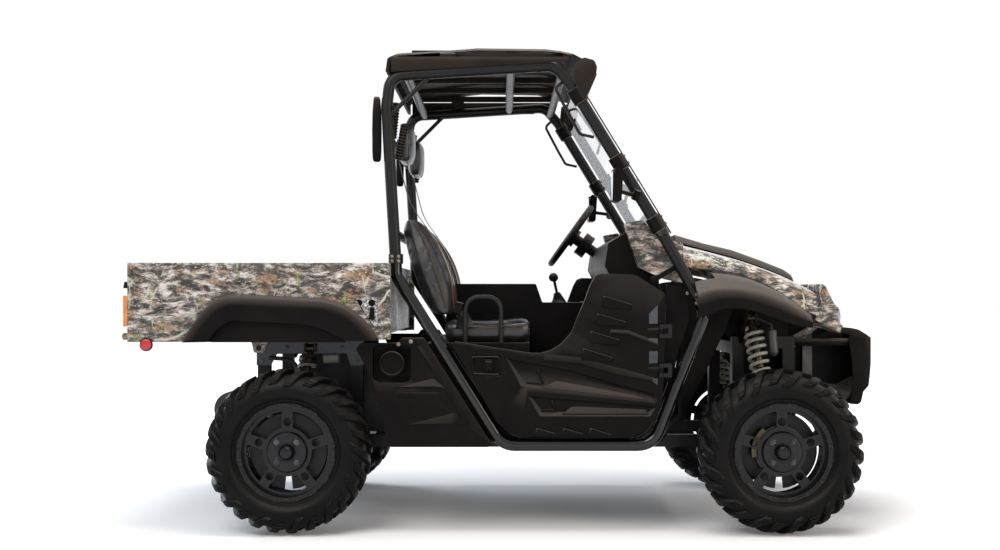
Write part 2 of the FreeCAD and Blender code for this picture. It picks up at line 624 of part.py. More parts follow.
def panels():
    fender = [
        (1598, 846), (1598, 956), (1576, 1009), (1614, 1020), (1658, 1024), (1724, 1020), (1790, 1009),
        (1861, 985), (1923, 956), (1980, 920), (2020, 881), (2033, 850), (2035, 806), (1980, 810),
        (1945, 817), (1879, 846), (1812, 868), (1746, 879), (1702, 879), (1667, 870), (1636, 854),
    ]
    flare = side_tray(fender, -TYRE_OUTER_Y, -HOOD_Y - 5, PANEL, 10)
    pillar_room = block(1540, 1668, -FENDER_SHELF_Y, -HOOD_Y + 10, 780, 1040)
    strut = rod(V(1830, -RAIL_Y - RAIL / 2 - 5, 738), V(1830, -540, 862), 9)
    put("front_fenders", both(fused([flare.cut(pillar_room), strut])))
    cowl = [(1322, 1219), (1393, 1231), (1470, 1160), (1556, 1140), (1562, 980), (1485, 996), (1440, 1014),
            (1379, 1042)]
    bracket = block(1440, 1500, -590, -560, 1125, 1155).cut(cage_clearance())
    put("cowl_panels", both(fused([side_tray(cowl, -564, -COWL_IN_Y, PANEL, 8), bracket])))
    kick = [(1482, 520), (1486, 975), (1570, 960), (1575, 830), (1528, 690), (1500, 520)]
    put("kick_panels", both(side_tray(kick, -KICK_Y, -550, PANEL, 8).cut(cage_clearance())))
    nose = [(2134, 985), (2158, 968), (2191, 900), (2220, 866), (2246, 815), (2227, 776), (2115, 830), (2134, 900)]
    nose_solid = side_plate(nose, -430, 430, 10)
    nose_inner = side_plate([(2110, 900), (2145, 950), (2176, 892), (2206, 858), (2226, 815), (2100, 800)], -420, 420, 6)
    nose_shell = nose_solid.cut(nose_inner)
    hinge_parts = []
    for side in (-1, 1):
        lamp = side_plate(LAMP, side * (LAMP_Y0 - SEAT_GAP), side * (LAMP_Y1 + SEAT_GAP), 4, SEAT_GAP)
        lug_room = block(2100, 2146, side * HOOD_LUG_Y - 18, side * HOOD_LUG_Y + 18, 880, 1000)
        nose_shell = nose_shell.cut([lamp, lug_room])
        ear_y = side * (HOOD_LUG_Y + 18)
        ear = [(HOOD_PIVOT.x - 3, HOOD_PIVOT.z - 9), (HOOD_PIVOT.x + 25, HOOD_PIVOT.z - 9),
               (HOOD_PIVOT.x + 25, HOOD_PIVOT.z + 10), (HOOD_PIVOT.x - 3, HOOD_PIVOT.z + 10)]
        hinge_parts.append(side_plate(ear, ear_y, ear_y + side * 8, 4))
        bracket = [(2055 + SEAT_GAP, 700), (2055 + SEAT_GAP, 755), (2160, 815), (2215, 812), (2215, 786),
                   (2170, 796)]
        hinge_parts.append(side_plate(bracket, side * 240, side * 250))
        hinge_parts.append(rod(V(HOOD_PIVOT.x, ear_y, HOOD_PIVOT.z),
                               V(HOOD_PIVOT.x, ear_y - side * 32, HOOD_PIVOT.z), HINGE_PIN))
    put("nose_panel", [fused([nose_shell] + hinge_parts)])
    side = [
        (280, 744), (427, 744), (440, 764), (527, 764), (796, 344), (780, 337), (400, 337), (387, 345),
        (354, 508), (312, 634), (264, 718),
    ]
    tray = side_tray(side, -DOOR_OUT_Y, -CAB_Y, PANEL, 10)
    recess_out = [(324, 582), (484, 582), (484, 744), (324, 744)]
    recess_in = [(329, 587), (479, 587), (479, 739), (329, 739)]
    cup = side_plate(recess_out, -DOOR_OUT_Y, -CAB_Y, 30)
    hole = side_plate(recess_in, -DOOR_OUT_Y - 1, -CAB_Y - PANEL, 26)
    right = fused([tray, cup]).cut(hole)
    put("rear_side_panels", both(right))
    put("fuel_cap", [rod(V(404, -CAB_Y - PANEL - SEAT_GAP, 671), V(404, -CAB_Y - PANEL - 28, 671), 38)])


def hood():
    top = [(1560, 1150)] + HOOD_TOP + [(2122, 953), (2108, 930), (2050, 957), (1950, 1002), (1790, 1058),
                                       (1595, 1112), (1560, 1120)]
    shell = side_plate(top, -HOOD_Y, HOOD_Y, 8)
    lugs = []
    for y in (-HOOD_LUG_Y, HOOD_LUG_Y):
        lug = side_plate([(HOOD_PIVOT.x - 42, HOOD_PIVOT.z + 7), (HOOD_PIVOT.x + 10, HOOD_PIVOT.z + 11),
                          (HOOD_PIVOT.x + 12, HOOD_PIVOT.z - 9), (HOOD_PIVOT.x - 10, HOOD_PIVOT.z - 16)],
                         y - 15, y + 15, 6)
        lugs.append(lug.cut(rod(V(HOOD_PIVOT.x, y - 20, HOOD_PIVOT.z), V(HOOD_PIVOT.x, y + 20, HOOD_PIVOT.z),
                                HINGE_PIN + RUNNING_GAP)))
    put("hood", [fused([shell] + lugs)])
    seat = [(x, z + SEAT_GAP) for x, z in reversed(HOOD_TOP)]
    raised = [(1574, 1191), (1698, 1154), (1821, 1125), (1943, 1081), (2041, 1042), (2076, 1018), (2084, 979)]
    put("hood_scoop", [side_plate(raised + seat + [(1576, 1148)], -200, 200)])


def front_end():
    outline = [
        (2288, 796), (2320, 789), (2348, 772), (FRONT_END, 745), (FRONT_END, 726), (2373, 632), (2363, 556),
        (2340, 530), (2331, 488), (2318, 477), (2288, 479), (2286, 505), (2299, 564), (2292, 662), (2280, 747),
    ]
    body = side_plate(outline, -330, 330)
    inner = [(2260, 770), (2330, 770), (2372, 735), (2357, 632), (2347, 565), (2320, 540), (2260, 540)]
    body = body.cut(side_plate(inner, -320, 320))
    tubes = []
    for side in (-1, 1):
        y = side * RAIL_Y
        tubes.append(rod(V(2055.3, y, 735), V(2290, y, 735), 16))
        tubes.append(rod(V(2060.3, y, 325), V(2120, y, 325), 16))
        tubes.append(tube([V(2060.3, y, 325), V(2130, y, 325), V(2296, y, 520)], 32, 60))
    put("front_bumper", [fused([body] + tubes)])
    lamp = side_plate(LAMP, -LAMP_Y1, -LAMP_Y0, 4)
    put("headlamps", both(lamp))
    core = block(2110, 2150, -230, 230, 480, 770)
    arms = [block(2055 + SEAT_GAP, 2110, y - 12, y + 12, 700, 725) for y in (-150, 150)]
    put("radiator", [fused([core] + arms)])


def cab():
    floor = [block(640, 1476, -CAB_Y, CAB_Y, FLOOR_Z - FLOOR_SHEET, FLOOR_Z)]
    wall_foot = FLOOR_Z - FLOOR_SHEET
    wall = side_plate([(1470, wall_foot), (1480, wall_foot), (1552, 450), (1540, 640), (1532, 640), (1540, 452)],
                      -545, 545)
    put("floor_tub", [fused(floor + [wall])])
    base = block(540, SEAT_BASE_FRONT, -CAB_Y + 6, CAB_Y - 6, FLOOR_Z + SEAT_GAP, SEAT_BASE_TOP)
    base = base.cut(block(546, SEAT_BASE_FRONT - 6, -CAB_Y + 12, CAB_Y - 12, FLOOR_Z - 1, SEAT_BASE_TOP - 8))
    put("seat_base", [base])
    cushion = side_plate([(600, SEAT_BASE_TOP + SEAT_GAP), (957, SEAT_BASE_TOP + SEAT_GAP), (957, SEAT_TOP),
                          (600, SEAT_TOP)], -SEAT_OUT_Y, -SEAT_IN_Y, 30)
    put("seat_cushions", both(cushion))
    back = side_plate([(548, SEAT_TOP + SEAT_GAP), (652, SEAT_TOP + SEAT_GAP), (528, 1232), (432, 1222)],
                      -SEAT_OUT_Y, -SEAT_IN_Y, 20)
    put("seat_backs", both(back))
    headrest = side_plate([(399.3, 1480), (470, 1480), (460, 1640), (399.3, 1640)], -430, -190, 15)
    put("headrests", both(headrest))
    belt = side_plate([(399.5, 1545), (402.5, 1545), (451, 1227.6), (531.2, 1235.8), (654, 850.9), (651.1, 850),
                       (528.5, 1232.4), (448, 1224.2)], -478, -433)
    cover = block(322, 355.7, -CAGE_HIGH_Y - 15, -CAGE_HIGH_Y + 25, 1461, 1719)
    put("seat_belts", both(belt) + both(cover))
    upper = side_plate([(594, SEAT_BASE_TOP + SEAT_GAP), (594, 981), (982, 981), (1010, 900), (1193, 900),
                        (1225, 862), (1225, SEAT_BASE_TOP + SEAT_GAP)], -CONSOLE_Y, CONSOLE_Y, 8)
    leg = block(SEAT_BASE_FRONT + SEAT_GAP, 1225, -CONSOLE_Y, CONSOLE_Y, FLOOR_Z + SEAT_GAP, SEAT_BASE_TOP + 20)
    put("centre_console", [fused([upper, leg])])
    lever = rod(V(1085, -40, 902 + SEAT_GAP), V(1062, -40, 1008), 6)
    boot = Part.makeCone(34, 14, 30, V(1085, -40, 900 + SEAT_GAP))
    knob = Part.makeSphere(18, V(1061, -40, 1012))
    put("gear_lever", [fused([lever, boot, knob])])
    rails = tube([V(689, -572, SEAT_BASE_TOP + SEAT_GAP), V(689, -572, 925), V(832, -572, 925),
                  V(832, -572, SEAT_BASE_TOP + SEAT_GAP)], 19, 55)
    grab = tube([V(1088, -CAGE_HIGH_Y + 12, 1787), V(1046, -CAGE_HIGH_Y, 1752), V(1113, -CAGE_HIGH_Y, 1626),
                 V(1145, -CAGE_HIGH_Y, 1570), V(1200, -CAGE_HIGH_Y, 1558)], 12, 20)
    put("hip_rails", both(rails))
    put("grab_handles", both(grab.cut(cage_clearance())))
    dash = [(1466, 1165), (1345, 1190), (1262, 1140), (1248, 1050), (1300, 950), (1340, 905), (1466, 905)]
    dash_in = [(1480, 1150), (1346, 1180), (1270, 1136), (1257, 1052), (1308, 955), (1343, 915), (1480, 915)]
    down = column_direction()
    column_room = rod(STEERING_WHEEL_AT, STEERING_WHEEL_AT + down * 400, COLUMN_RADIUS + SEAT_GAP)
    dash_y = COWL_IN_Y - SEAT_GAP
    dash_hollow = side_plate(dash_in, -510, 510, 10)
    dash_solid = side_plate(dash, -dash_y, dash_y, 12).cut([dash_hollow, column_room])
    put("dashboard", [dash_solid])


def column_direction():
    """From the steering wheel's centre down the column, forward and down."""
    tilt = math.radians(COLUMN_TILT)
    return V(math.cos(tilt), 0, -math.sin(tilt))


def steering():
    down = column_direction()
    hub = STEERING_WHEEL_AT
    ring = Part.makeTorus(STEERING_WHEEL_DIAMETER / 2 - 14, 14, hub, down)
    centre = rod(hub - down * 12, hub + down * 30, 42)
    across = V(0, 1, 0)
    up = down.cross(across)
    spokes = []
    for direction in (across, across * -1, up * -1):
        spokes.append(rod(hub + direction * 30, hub + direction * (STEERING_WHEEL_DIAMETER / 2 - 14), 10))
    put("steering_wheel", [fused([ring, centre] + spokes)])
    column = rod(hub + down * (30 + SEAT_GAP), hub + down * 160, COLUMN_RADIUS)
    pod = rod(hub + down * 55, hub + down * 100, 55)
    put("steering_column", [fused([column, pod])])


def doors():
    outline = [
        (714, 609), (750, 547), (813, 438), (858, 393), (906, 377), (1333, 372), (1398, 397), (1438, 452),
        (1463, 522), (1469, 607), (1476, 926), (1472, 940), (1364, 1008), (1336, 1014), (1224, 1016),
        (1202, 1008), (1184, 976), (1156, 900), (1134, 851), (1109, 786), (1069, 741), (1029, 716), (989, 704),
        (949, 704), (839, 721), (750, 734), (652, 750), (636, 740),
    ]
    panel = side_plate(outline, -DOOR_OUT_Y, -DOOR_OUT_Y + DOOR_THICKNESS, 12)
    knuckles = []
    frame_leaves = []
    x = DOOR_HINGE.x
    y = DOOR_HINGE.y
    for z in DOOR_HINGES:
        end = z + DOOR_HINGE_HEIGHT
        panel = panel.cut(Part.makeCylinder(HINGE_BARREL + 2, DOOR_HINGE_HEIGHT + 6, V(x, y, z - 3)))
        barrel = Part.makeCylinder(HINGE_BARREL, 22, V(x, y, z + 16))
        leaf = block(x - 53, x, y + 1, -DOOR_OUT_Y + 2, z + 16, z + 38)
        bore = Part.makeCylinder(HINGE_PIN - 2 + RUNNING_GAP, 40, V(x, y, z + 8))
        knuckles.append(barrel.fuse(leaf).cut(bore))
        leaves = [Part.makeCylinder(HINGE_PIN - 2, DOOR_HINGE_HEIGHT, V(x, y, z))]
        for z0, z1 in ((z, z + 15.5), (z + 38.5, end)):
            leaves.append(Part.makeCylinder(HINGE_BARREL, z1 - z0, V(x, y, z0)))
            leaves.append(block(x, x + 42, y - 4, y + 4, z0, z1))
        leaves.append(block(x + 27, x + 42, y - 4, -KICK_Y - SEAT_GAP, z, end))
        frame_leaves += both(fused(leaves))
    right = fused([panel] + knuckles)
    put("door_right", [right])
    put("door_left", [mirrored(right)])
    put("door_hinges", frame_leaves)


def cargo_bed():
    arch = [(-293, 751), (-262, 793), (-224, 820), (-193, 828), (52, 816), (121, 805), (182, 778), (228, 755)]
    side = [(BED_REAR, BED_BOTTOM)] + arch + [(BED_FRONT, 760), (BED_FRONT, BED_TOP), (BED_REAR, BED_TOP)]
    pieces = []
    void = [(-305, 700)] + arch + [(240, 700)]
    well_out = [(-312, 751), (-278, 802), (-235, 832), (-198, 841), (55, 829), (130, 817), (195, 789), (247, 755)]
    for sign in (-1, 1):
        pieces.append(side_plate(side, sign * BED_Y, sign * (BED_Y - BED_WALL)))
        pieces.append(side_plate(well_out, sign * (BED_Y - BED_WALL), sign * 470))
        pieces.append(block(-380, 193, min(sign * 345, sign * 385), max(sign * 345, sign * 385), 740, BED_FLOOR_Z))
    inner_y = BED_Y - BED_WALL
    pieces.append(block(-585, BED_FRONT_WALL, -inner_y, inner_y, BED_FLOOR_Z, BED_FLOOR_Z + BED_FLOOR))
    pieces.append(block(BED_FRONT_WALL - BED_WALL, BED_FRONT_WALL, -inner_y, inner_y, BED_FLOOR_Z, BED_TOP))
    bed = fused(pieces)
    for sign in (-1, 1):
        bed = bed.cut(side_plate(void, sign * (BED_Y + 5), sign * 482))
    extra = []
    for sign in (-1, 1):
        ear_y = sign * (RAIL_Y + RAIL / 2 + 2)
        ear = side_plate([(-215, BED_FLOOR_Z + 2), (-195, 692), (-155, 692), (-120, BED_FLOOR_Z + 2)],
                         ear_y, ear_y + sign * 14, 12)
        hole = rod(V(BED_PIVOT.x, sign * 300, BED_PIVOT.z), V(BED_PIVOT.x, sign * 400, BED_PIVOT.z),
                   BED_PIN + RUNNING_GAP)
        extra.append(ear.cut(hole))
        lug = side_plate([(-600, 785), (-600, 758), (-640, 758), (-640, 785)], sign * 661, sign * 690, 8)
        pin = rod(V(TAILGATE_PIVOT.x, sign * 662, TAILGATE_PIVOT.z), V(TAILGATE_PIVOT.x, sign * 620, TAILGATE_PIVOT.z),
                  HINGE_PIN)
        extra += [lug, pin]
    put("bed_box", [fused([bed] + extra)])
    outer = [(-403, 749), (-346, 839), (-300, 893), (-255, 923), (-208, 935), (6, 927), (159, 916), (236, 889),
             (305, 835), (351, 774), (359, 755)]
    flare = outer + [(228, 755), (182, 778), (121, 805), (52, 816), (-193, 828), (-224, 820), (-262, 793), (-293, 751)]
    put("bed_flares", both(side_tray(flare, -TYRE_OUTER_Y, -BED_Y - SEAT_GAP, PANEL, 8)))
    lens = block(BED_REAR - 16, BED_REAR - SEAT_GAP, -BED_Y, -BED_Y + 36, 810, 930)
    put("tail_lamps", both(lens))
    gate_y = BED_Y - BED_WALL - 5
    gate = block(TAILGATE_PIVOT.x, TAILGATE_PIVOT.x + TAILGATE_THICKNESS, -gate_y, gate_y, 785, TAILGATE_TOP)
    gate_parts = [gate]
    bore = HINGE_PIN + RUNNING_GAP
    for sign in (-1, 1):
        outline = [(-612, 790), (-612, 762), (-634, 757), (-639, 771), (-625, 790)]
        lug = side_plate(outline, sign * 600, sign * 640, 6)
        gate_parts.append(lug.cut(rod(V(TAILGATE_PIVOT.x, sign * 590, TAILGATE_PIVOT.z),
                                      V(TAILGATE_PIVOT.x, sign * 650, TAILGATE_PIVOT.z), bore)))
    put("tailgate", [fused(gate_parts)])


def drive_line():
    put("engine_block", [block(-20, 480, -190, 190, 352, 690)])
    silencer = fused([
        rod(V(-330, -140, 440), V(-330, 220, 440), 75),
        rod(V(-330, -140, 440), V(-330, -200, 440), 22),
        block(-262, -182.3, 180, RAIL_Y, 450, 480),
    ])
    put("exhaust_silencer", [silencer])
    receiver = block(-420, -182.3, -32, 32, 294, 358).cut(block(-430, -250, -25.5, 25.5, 300.5, 351.5))
    pin_hole = rod(V(-370, -40, 326), V(-370, 40, 326), 8)
    put("tow_hitch", [receiver.cut(pin_hole)])
    mirror = fused([
        side_plate([(1262, 1292), (1296, 1296), (1304, 1420), (1272, 1428)], -735, -640, 10),
        rod(V(1285, -660, 1340), V(1366, -605, 1325), 8),
        rod(V(1358, -605, 1310), V(1372, -621.5, 1345), 14),
    ])
    put("side_mirrors", both(mirror.cut(cage_clearance())))


def main():
    os.makedirs("parts", exist_ok=True)
    wheels()
    running_gear()
    chassis_frame()
    side_tubes()
    roll_cage()
    roof()
    windshield()
    panels()
    hood()
    front_end()
    cab()
    steering()
    doors()
    cargo_bed()
    drive_line()


main()
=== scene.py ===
# The dressed side by side utility vehicle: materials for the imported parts, and the tyres, seats, belts,
# springs, fasteners and trim as modelled meshes. Lengths in this file are millimetres unless a name says
# otherwise, with X measured from the rear axle; at() turns them into the frame's metres.
import bmesh
import bpy
import json
import math
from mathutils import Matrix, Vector


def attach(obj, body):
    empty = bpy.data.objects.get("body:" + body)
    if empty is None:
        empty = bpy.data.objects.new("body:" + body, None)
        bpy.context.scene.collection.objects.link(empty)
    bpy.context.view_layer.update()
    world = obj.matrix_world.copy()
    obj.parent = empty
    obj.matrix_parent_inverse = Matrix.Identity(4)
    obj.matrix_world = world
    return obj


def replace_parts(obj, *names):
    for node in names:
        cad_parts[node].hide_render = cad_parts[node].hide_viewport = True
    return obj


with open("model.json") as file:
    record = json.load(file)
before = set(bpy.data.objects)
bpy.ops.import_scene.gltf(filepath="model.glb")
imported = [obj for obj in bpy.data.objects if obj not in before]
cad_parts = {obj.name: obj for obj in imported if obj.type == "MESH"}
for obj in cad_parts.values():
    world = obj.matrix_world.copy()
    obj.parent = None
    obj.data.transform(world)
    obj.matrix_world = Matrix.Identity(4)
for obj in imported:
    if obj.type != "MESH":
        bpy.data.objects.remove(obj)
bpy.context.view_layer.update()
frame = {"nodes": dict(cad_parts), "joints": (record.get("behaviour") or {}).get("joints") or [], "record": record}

JOINTS = {joint["name"]: joint for joint in frame["joints"]}
REAR_AXLE = JOINTS["wheel_rear_right_roll"]["pos_m"]
FRONT_AXLE = JOINTS["wheel_front_right_roll"]["pos_m"]
WHEELBASE = (FRONT_AXLE[0] - REAR_AXLE[0]) * 1000
HUB_Z = REAR_AXLE[2] * 1000
MM = 0.001
SIDES = (("right", -1), ("left", 1))
# The floor's glow is kept low near the middle, which deepens the cast shadow and greys the floor round the vehicle:
# painted shade on top of the real shadow.
FLOOR_GLOW = 0.1  # of the backdrop's white, under the vehicle
FLOOR_FADE = (1.2, 6.0)  # metres from the middle over which the floor turns white


def at(x, y, z):
    """A point in millimetres from the rear axle, as metres in the row's frame."""
    return Vector((x * MM + REAR_AXLE[0], y * MM, z * MM))


# Materials


class Nodes:
    """The node tree of a material or of the world, with short ways to add nodes and link them."""

    def __init__(self, name, world=False):
        self.owner = (bpy.data.worlds if world else bpy.data.materials).new(name)
        self.owner.use_nodes = True
        self.tree = self.owner.node_tree
        self.shader = self.tree.nodes["Background" if world else "Principled BSDF"]
        if not world:
            self.place = self.add("TexCoord").outputs["Object"]

    def set(self, node, name, value):
        """Links a socket to a node's input, or sets the input's value."""
        if isinstance(value, bpy.types.NodeSocket):
            self.tree.links.new(value, node.inputs[name])
        else:
            node.inputs[name].default_value = value

    def add(self, kind, **inputs):
        node = self.tree.nodes.new("ShaderNode" + kind)
        for name, value in inputs.items():
            self.set(node, name.replace("_", " "), value)
        return node

    def operate(self, kind, operation, *values):
        """A node with an operation, its inputs in order."""
        node = self.add(kind)
        node.operation = operation
        for index, value in enumerate(values):
            self.set(node, index, value)
        return node

    def math(self, operation, *values):
        return self.operate("Math", operation, *values).outputs[0]

    def stretch(self, scale, turn=0.0, place=None):
        """The object's coordinates, in metres, scaled along each axis and turned about Y."""
        return self.add("Mapping", Vector=place or self.place, Scale=scale,
                        Rotation=(0.0, turn, 0.0)).outputs["Vector"]

    def noise(self, scale, detail, rough=0.55, place=None):
        return self.add("TexNoise", Vector=place or self.place, Scale=scale, Detail=detail,
                        Roughness=rough).outputs["Fac"]

    def cells(self, scale, feature, place=None):
        node = self.add("TexVoronoi", Vector=place or self.place, Scale=scale)
        node.feature = feature
        return node.outputs["Distance"]

    def ramp(self, value, stops):
        """Colours along a value; stops are (position, colour), and a number is a grey."""
        node = self.add("ValToRGB", Fac=value)
        elements = node.color_ramp.elements
        while len(elements) < len(stops):
            elements.new(0.5)
        for element, (position, colour) in zip(elements, stops):
            element.position = position
            element.color = (*(colour if isinstance(colour, tuple) else (colour,) * 3), 1.0)
        return node.outputs["Color"]

    def tone(self, dark, light, *noise):
        """A colour that wanders between two."""
        return self.ramp(self.noise(*noise), [(0.3, dark), (0.7, light)])

    def step(self, value, low, high):
        """Black below low, white above high."""
        return self.ramp(value, [(low, 0), (high, 1)])

    def spread(self, value, start, end, low, high):
        """A value from start to end spread over low to high."""
        return self.add("MapRange", Value=value, From_Min=start, From_Max=end, To_Min=low,
                        To_Max=high).outputs["Result"]

    def grey(self, value, low, high):
        return self.spread(value, 0.3, 0.7, low, high)

    def mix(self, share, first, second):
        node = self.add("Mix")
        node.data_type = "RGBA"
        for index, value in ((0, share), (6, first), (7, second)):
            self.set(node, index, (*value, 1.0) if isinstance(value, tuple) else value)
        return node.outputs[2]

    def painted_top_highlight(self, colour, highlight_colour, low=0.06, high=0.7):
        """A colour made lighter on faces that look upward: a painted highlight from the light above."""
        upward = self.add("SeparateXYZ", Vector=self.add("NewGeometry").outputs["Normal"]).outputs["Z"]
        return self.mix(self.step(upward, low, high), colour, highlight_colour)

    def bump(self, height, distance_mm):
        node = self.add("Bump", Height=height, Distance=distance_mm * MM, Strength=1.0)
        self.set(self.shader, "Normal", node.outputs["Normal"])

    def shade(self, **inputs):
        for name, value in inputs.items():
            self.set(self.shader, name.replace("_", " "), value)
        return self.owner

    def seen(self):
        """1 for rays that show the backdrop itself, 0 for those that light with it."""
        rays = self.add("LightPath").outputs
        return self.math("MAXIMUM", rays["Is Camera Ray"],
                         self.math("MAXIMUM", rays["Is Glossy Ray"], rays["Is Transmission Ray"]))

    def end_with(self, kind, output, *values):
        """Combines shaders and links them to the tree's output."""
        node = self.add(kind)
        for index, value in enumerate(values):
            self.set(node, index, value)
        self.set(self.tree.nodes[output], "Surface", node.outputs[0])


def grained_plastic(name, dark, light, rough=(0.36, 0.52)):
    """Moulded plastic with a fine leather-like grain, faint scuffs and a painted highlight on faces that look upward.
    """
    n = Nodes(name)
    n.bump(n.cells(900.0, "SMOOTH_F1"), 0.12)
    # The colour lightens on faces that look upward: a painted highlight.
    return n.shade(Base_Color=n.painted_top_highlight(n.tone(dark, light, 7.0, 6.0), (0.078, 0.066, 0.058)),
                   Roughness=n.grey(n.noise(38.0, 8.0, 0.65), *rough), Specular_IOR_Level=0.06)


def enamel(name, dark, light, rough, coat):
    """Sprayed enamel or powder coat with a little orange peel."""
    n = Nodes(name)
    n.bump(n.noise(420.0, 2.0), 0.03)
    return n.shade(Base_Color=n.tone(dark, light, 5.0, 5.0), Roughness=n.grey(n.noise(24.0, 7.0, 0.6), *rough),
                   Specular_IOR_Level=0.2, Coat_Weight=coat, Coat_Roughness=0.08)


def metal(name, dark, light, rough, depth=0.05):
    n = Nodes(name)
    streaks = n.noise(6.0, 6.0, place=n.stretch((60.0, 60.0, 60.0)))
    n.bump(streaks, depth)
    return n.shade(Base_Color=n.tone(dark, light, 9.0, 5.0), Metallic=1.0, Roughness=n.grey(streaks, *rough))


def rubber():
    n = Nodes("tyre_rubber")
    colour = n.ramp(n.noise(6.0, 7.0, 0.6), [(0.25, 0.003), (0.75, (0.007, 0.0065, 0.0065))])
    n.bump(n.noise(500.0, 3.0), 0.12)
    # The tyre's colour lightens on faces that look upward: a painted highlight on the sidewall and shoulder.
    return n.shade(Base_Color=n.painted_top_highlight(colour, (0.024, 0.023, 0.022), 0.1, 0.9),
                   Roughness=n.grey(n.noise(18.0, 8.0, 0.65), 0.32, 0.5), Specular_IOR_Level=0.08)


def camouflage(name, stripe=None):
    """A generic woodland pattern: bark streaks, tan and green patches, pale chips and thin pale stems.

    stripe is a plain silver band between two distances from the vehicle's middle, in metres."""
    n = Nodes(name)
    warp = n.add("TexNoise", Vector=n.place, Scale=6.0, Detail=3.0).outputs["Color"]
    bent = n.operate("VectorMath", "MULTIPLY_ADD", warp, (0.08, 0.08, 0.08), n.place).outputs[0]

    def laid(colour, mask, share, over):
        return n.mix(n.math("MULTIPLY", mask, share), colour, over)

    streaks = n.noise(13.0, 10.0, 0.72, n.stretch((1.2, 1.8, 3.6), 0.16, bent))
    ground = n.ramp(streaks, [
        (0.37, 0.008), (0.445, (0.035, 0.031, 0.028)), (0.485, (0.115, 0.096, 0.082)), (0.525, (0.26, 0.225, 0.195)),
        (0.57, (0.52, 0.475, 0.43)), (0.65, (0.78, 0.74, 0.69))])
    tan = n.noise(7.5, 8.0, 0.66, n.stretch((1.2, 1.2, 2.6), -0.35, bent))
    tan_tone = n.ramp(n.noise(60.0, 7.0, 0.7), [(0.35, (0.10, 0.045, 0.018)), (0.62, (0.50, 0.30, 0.165))])
    colour = laid(ground, n.step(tan, 0.55, 0.59), 0.8, tan_tone)
    green = n.noise(17.0, 6.0, 0.6, n.stretch((1.5, 1.0, 1.0), 0.8, bent))
    green_tone = n.ramp(n.noise(90.0, 4.0), [(0.35, (0.060, 0.075, 0.022)), (0.65, (0.34, 0.35, 0.11))])
    colour = laid(colour, n.step(green, 0.62, 0.645), 0.9, green_tone)
    chips = n.math("LESS_THAN", n.cells(70.0, "F1", n.stretch((0.8, 1.0, 1.7), 0.2, bent)), 0.24)
    bands = n.step(n.noise(5.0, 4.0, place=n.stretch((0.6, 1.0, 3.0), 0.0, bent)), 0.50, 0.58)
    colour = laid(colour, n.math("MULTIPLY", chips, bands), 0.9, (0.60, 0.59, 0.53))
    cracks = n.noise(30.0, 9.0, 0.75, n.stretch((1.0, 1.4, 2.6), 0.45, bent))
    colour = laid(colour, n.step(cracks, 0.55, 0.585), 0.9, (0.010, 0.0095, 0.009))
    stems = n.math("LESS_THAN", n.cells(1.0, "DISTANCE_TO_EDGE", n.stretch((9.0, 6.0, 3.0), -0.6, bent)), 0.016)
    colour = laid(colour, stems, n.step(n.noise(5.0, 3.0), 0.50, 0.54), (0.46, 0.48, 0.38))
    if stripe:
        away = n.math("ABSOLUTE", n.add("SeparateXYZ", Vector=n.place).outputs["Y"])
        inside = n.math("GREATER_THAN", away, stripe[0])
        silver = n.tone((0.40, 0.41, 0.42), (0.54, 0.55, 0.56), 90.0, 6.0)
        colour = laid(colour, inside, n.math("LESS_THAN", away, stripe[1]), silver)
    n.bump(n.noise(300.0, 2.0), 0.02)
    return n.shade(Base_Color=colour, Roughness=n.grey(n.noise(20.0, 5.0), 0.34, 0.48), Specular_IOR_Level=0.4,
                   Coat_Weight=0.2, Coat_Roughness=0.12)


def vinyl():
    n = Nodes("seat_vinyl")
    n.bump(n.math("MINIMUM", n.cells(420.0, "DISTANCE_TO_EDGE"), 0.25), 0.3)
    return n.shade(Base_Color=n.tone((0.008, 0.008, 0.009), (0.018, 0.018, 0.020), 12.0, 6.0),
                   Roughness=n.grey(n.noise(30.0, 6.0), 0.26, 0.40), Specular_IOR_Level=0.55, Sheen_Weight=0.05,
                   Sheen_Roughness=0.4)


def webbing():
    n = Nodes("belt_webbing")
    wave = n.add("TexWave", Vector=n.place, Scale=300.0, Distortion=0.6).outputs["Fac"]
    n.bump(wave, 0.5)
    return n.shade(Base_Color=n.ramp(wave, [(0.2, (0.007, 0.007, 0.008)), (0.8, (0.020, 0.020, 0.022))]),
                   Roughness=n.grey(n.noise(60.0, 4.0), 0.55, 0.75), Sheen_Weight=0.1)


def clear_sheet():
    n = Nodes("clear_screen")
    return n.shade(Base_Color=n.tone((0.80, 0.83, 0.86), (0.86, 0.88, 0.91), 9.0, 6.0, 0.6), Roughness=0.02,
                   Transmission_Weight=1.0, IOR=1.2)


def lens(name, dark, light, transmission):
    n = Nodes(name)
    n.bump(n.add("TexWave", Vector=n.place, Scale=60.0).outputs["Fac"], 0.5)
    return n.shade(Base_Color=n.tone(dark, light, 30.0, 3.0), Roughness=0.08, Transmission_Weight=transmission,
                   IOR=1.45, Coat_Weight=0.5)


def mottled_plate():
    """Galvanised sheet with black and white splashes."""
    n = Nodes("mottled_plate")
    colour = n.ramp(n.noise(110.0, 6.0, 0.7), [(0.42, 0.03), (0.5, (0.42, 0.43, 0.43)), (0.6, (0.78, 0.79, 0.78))])
    n.bump(n.noise(200.0, 3.0), 0.1)
    return n.shade(Base_Color=colour, Roughness=n.grey(n.noise(60.0, 4.0), 0.4, 0.6))


def made(maker, **looks):
    """Materials of one kind by name."""
    return {name: maker(name, *look) for name, look in looks.items()}


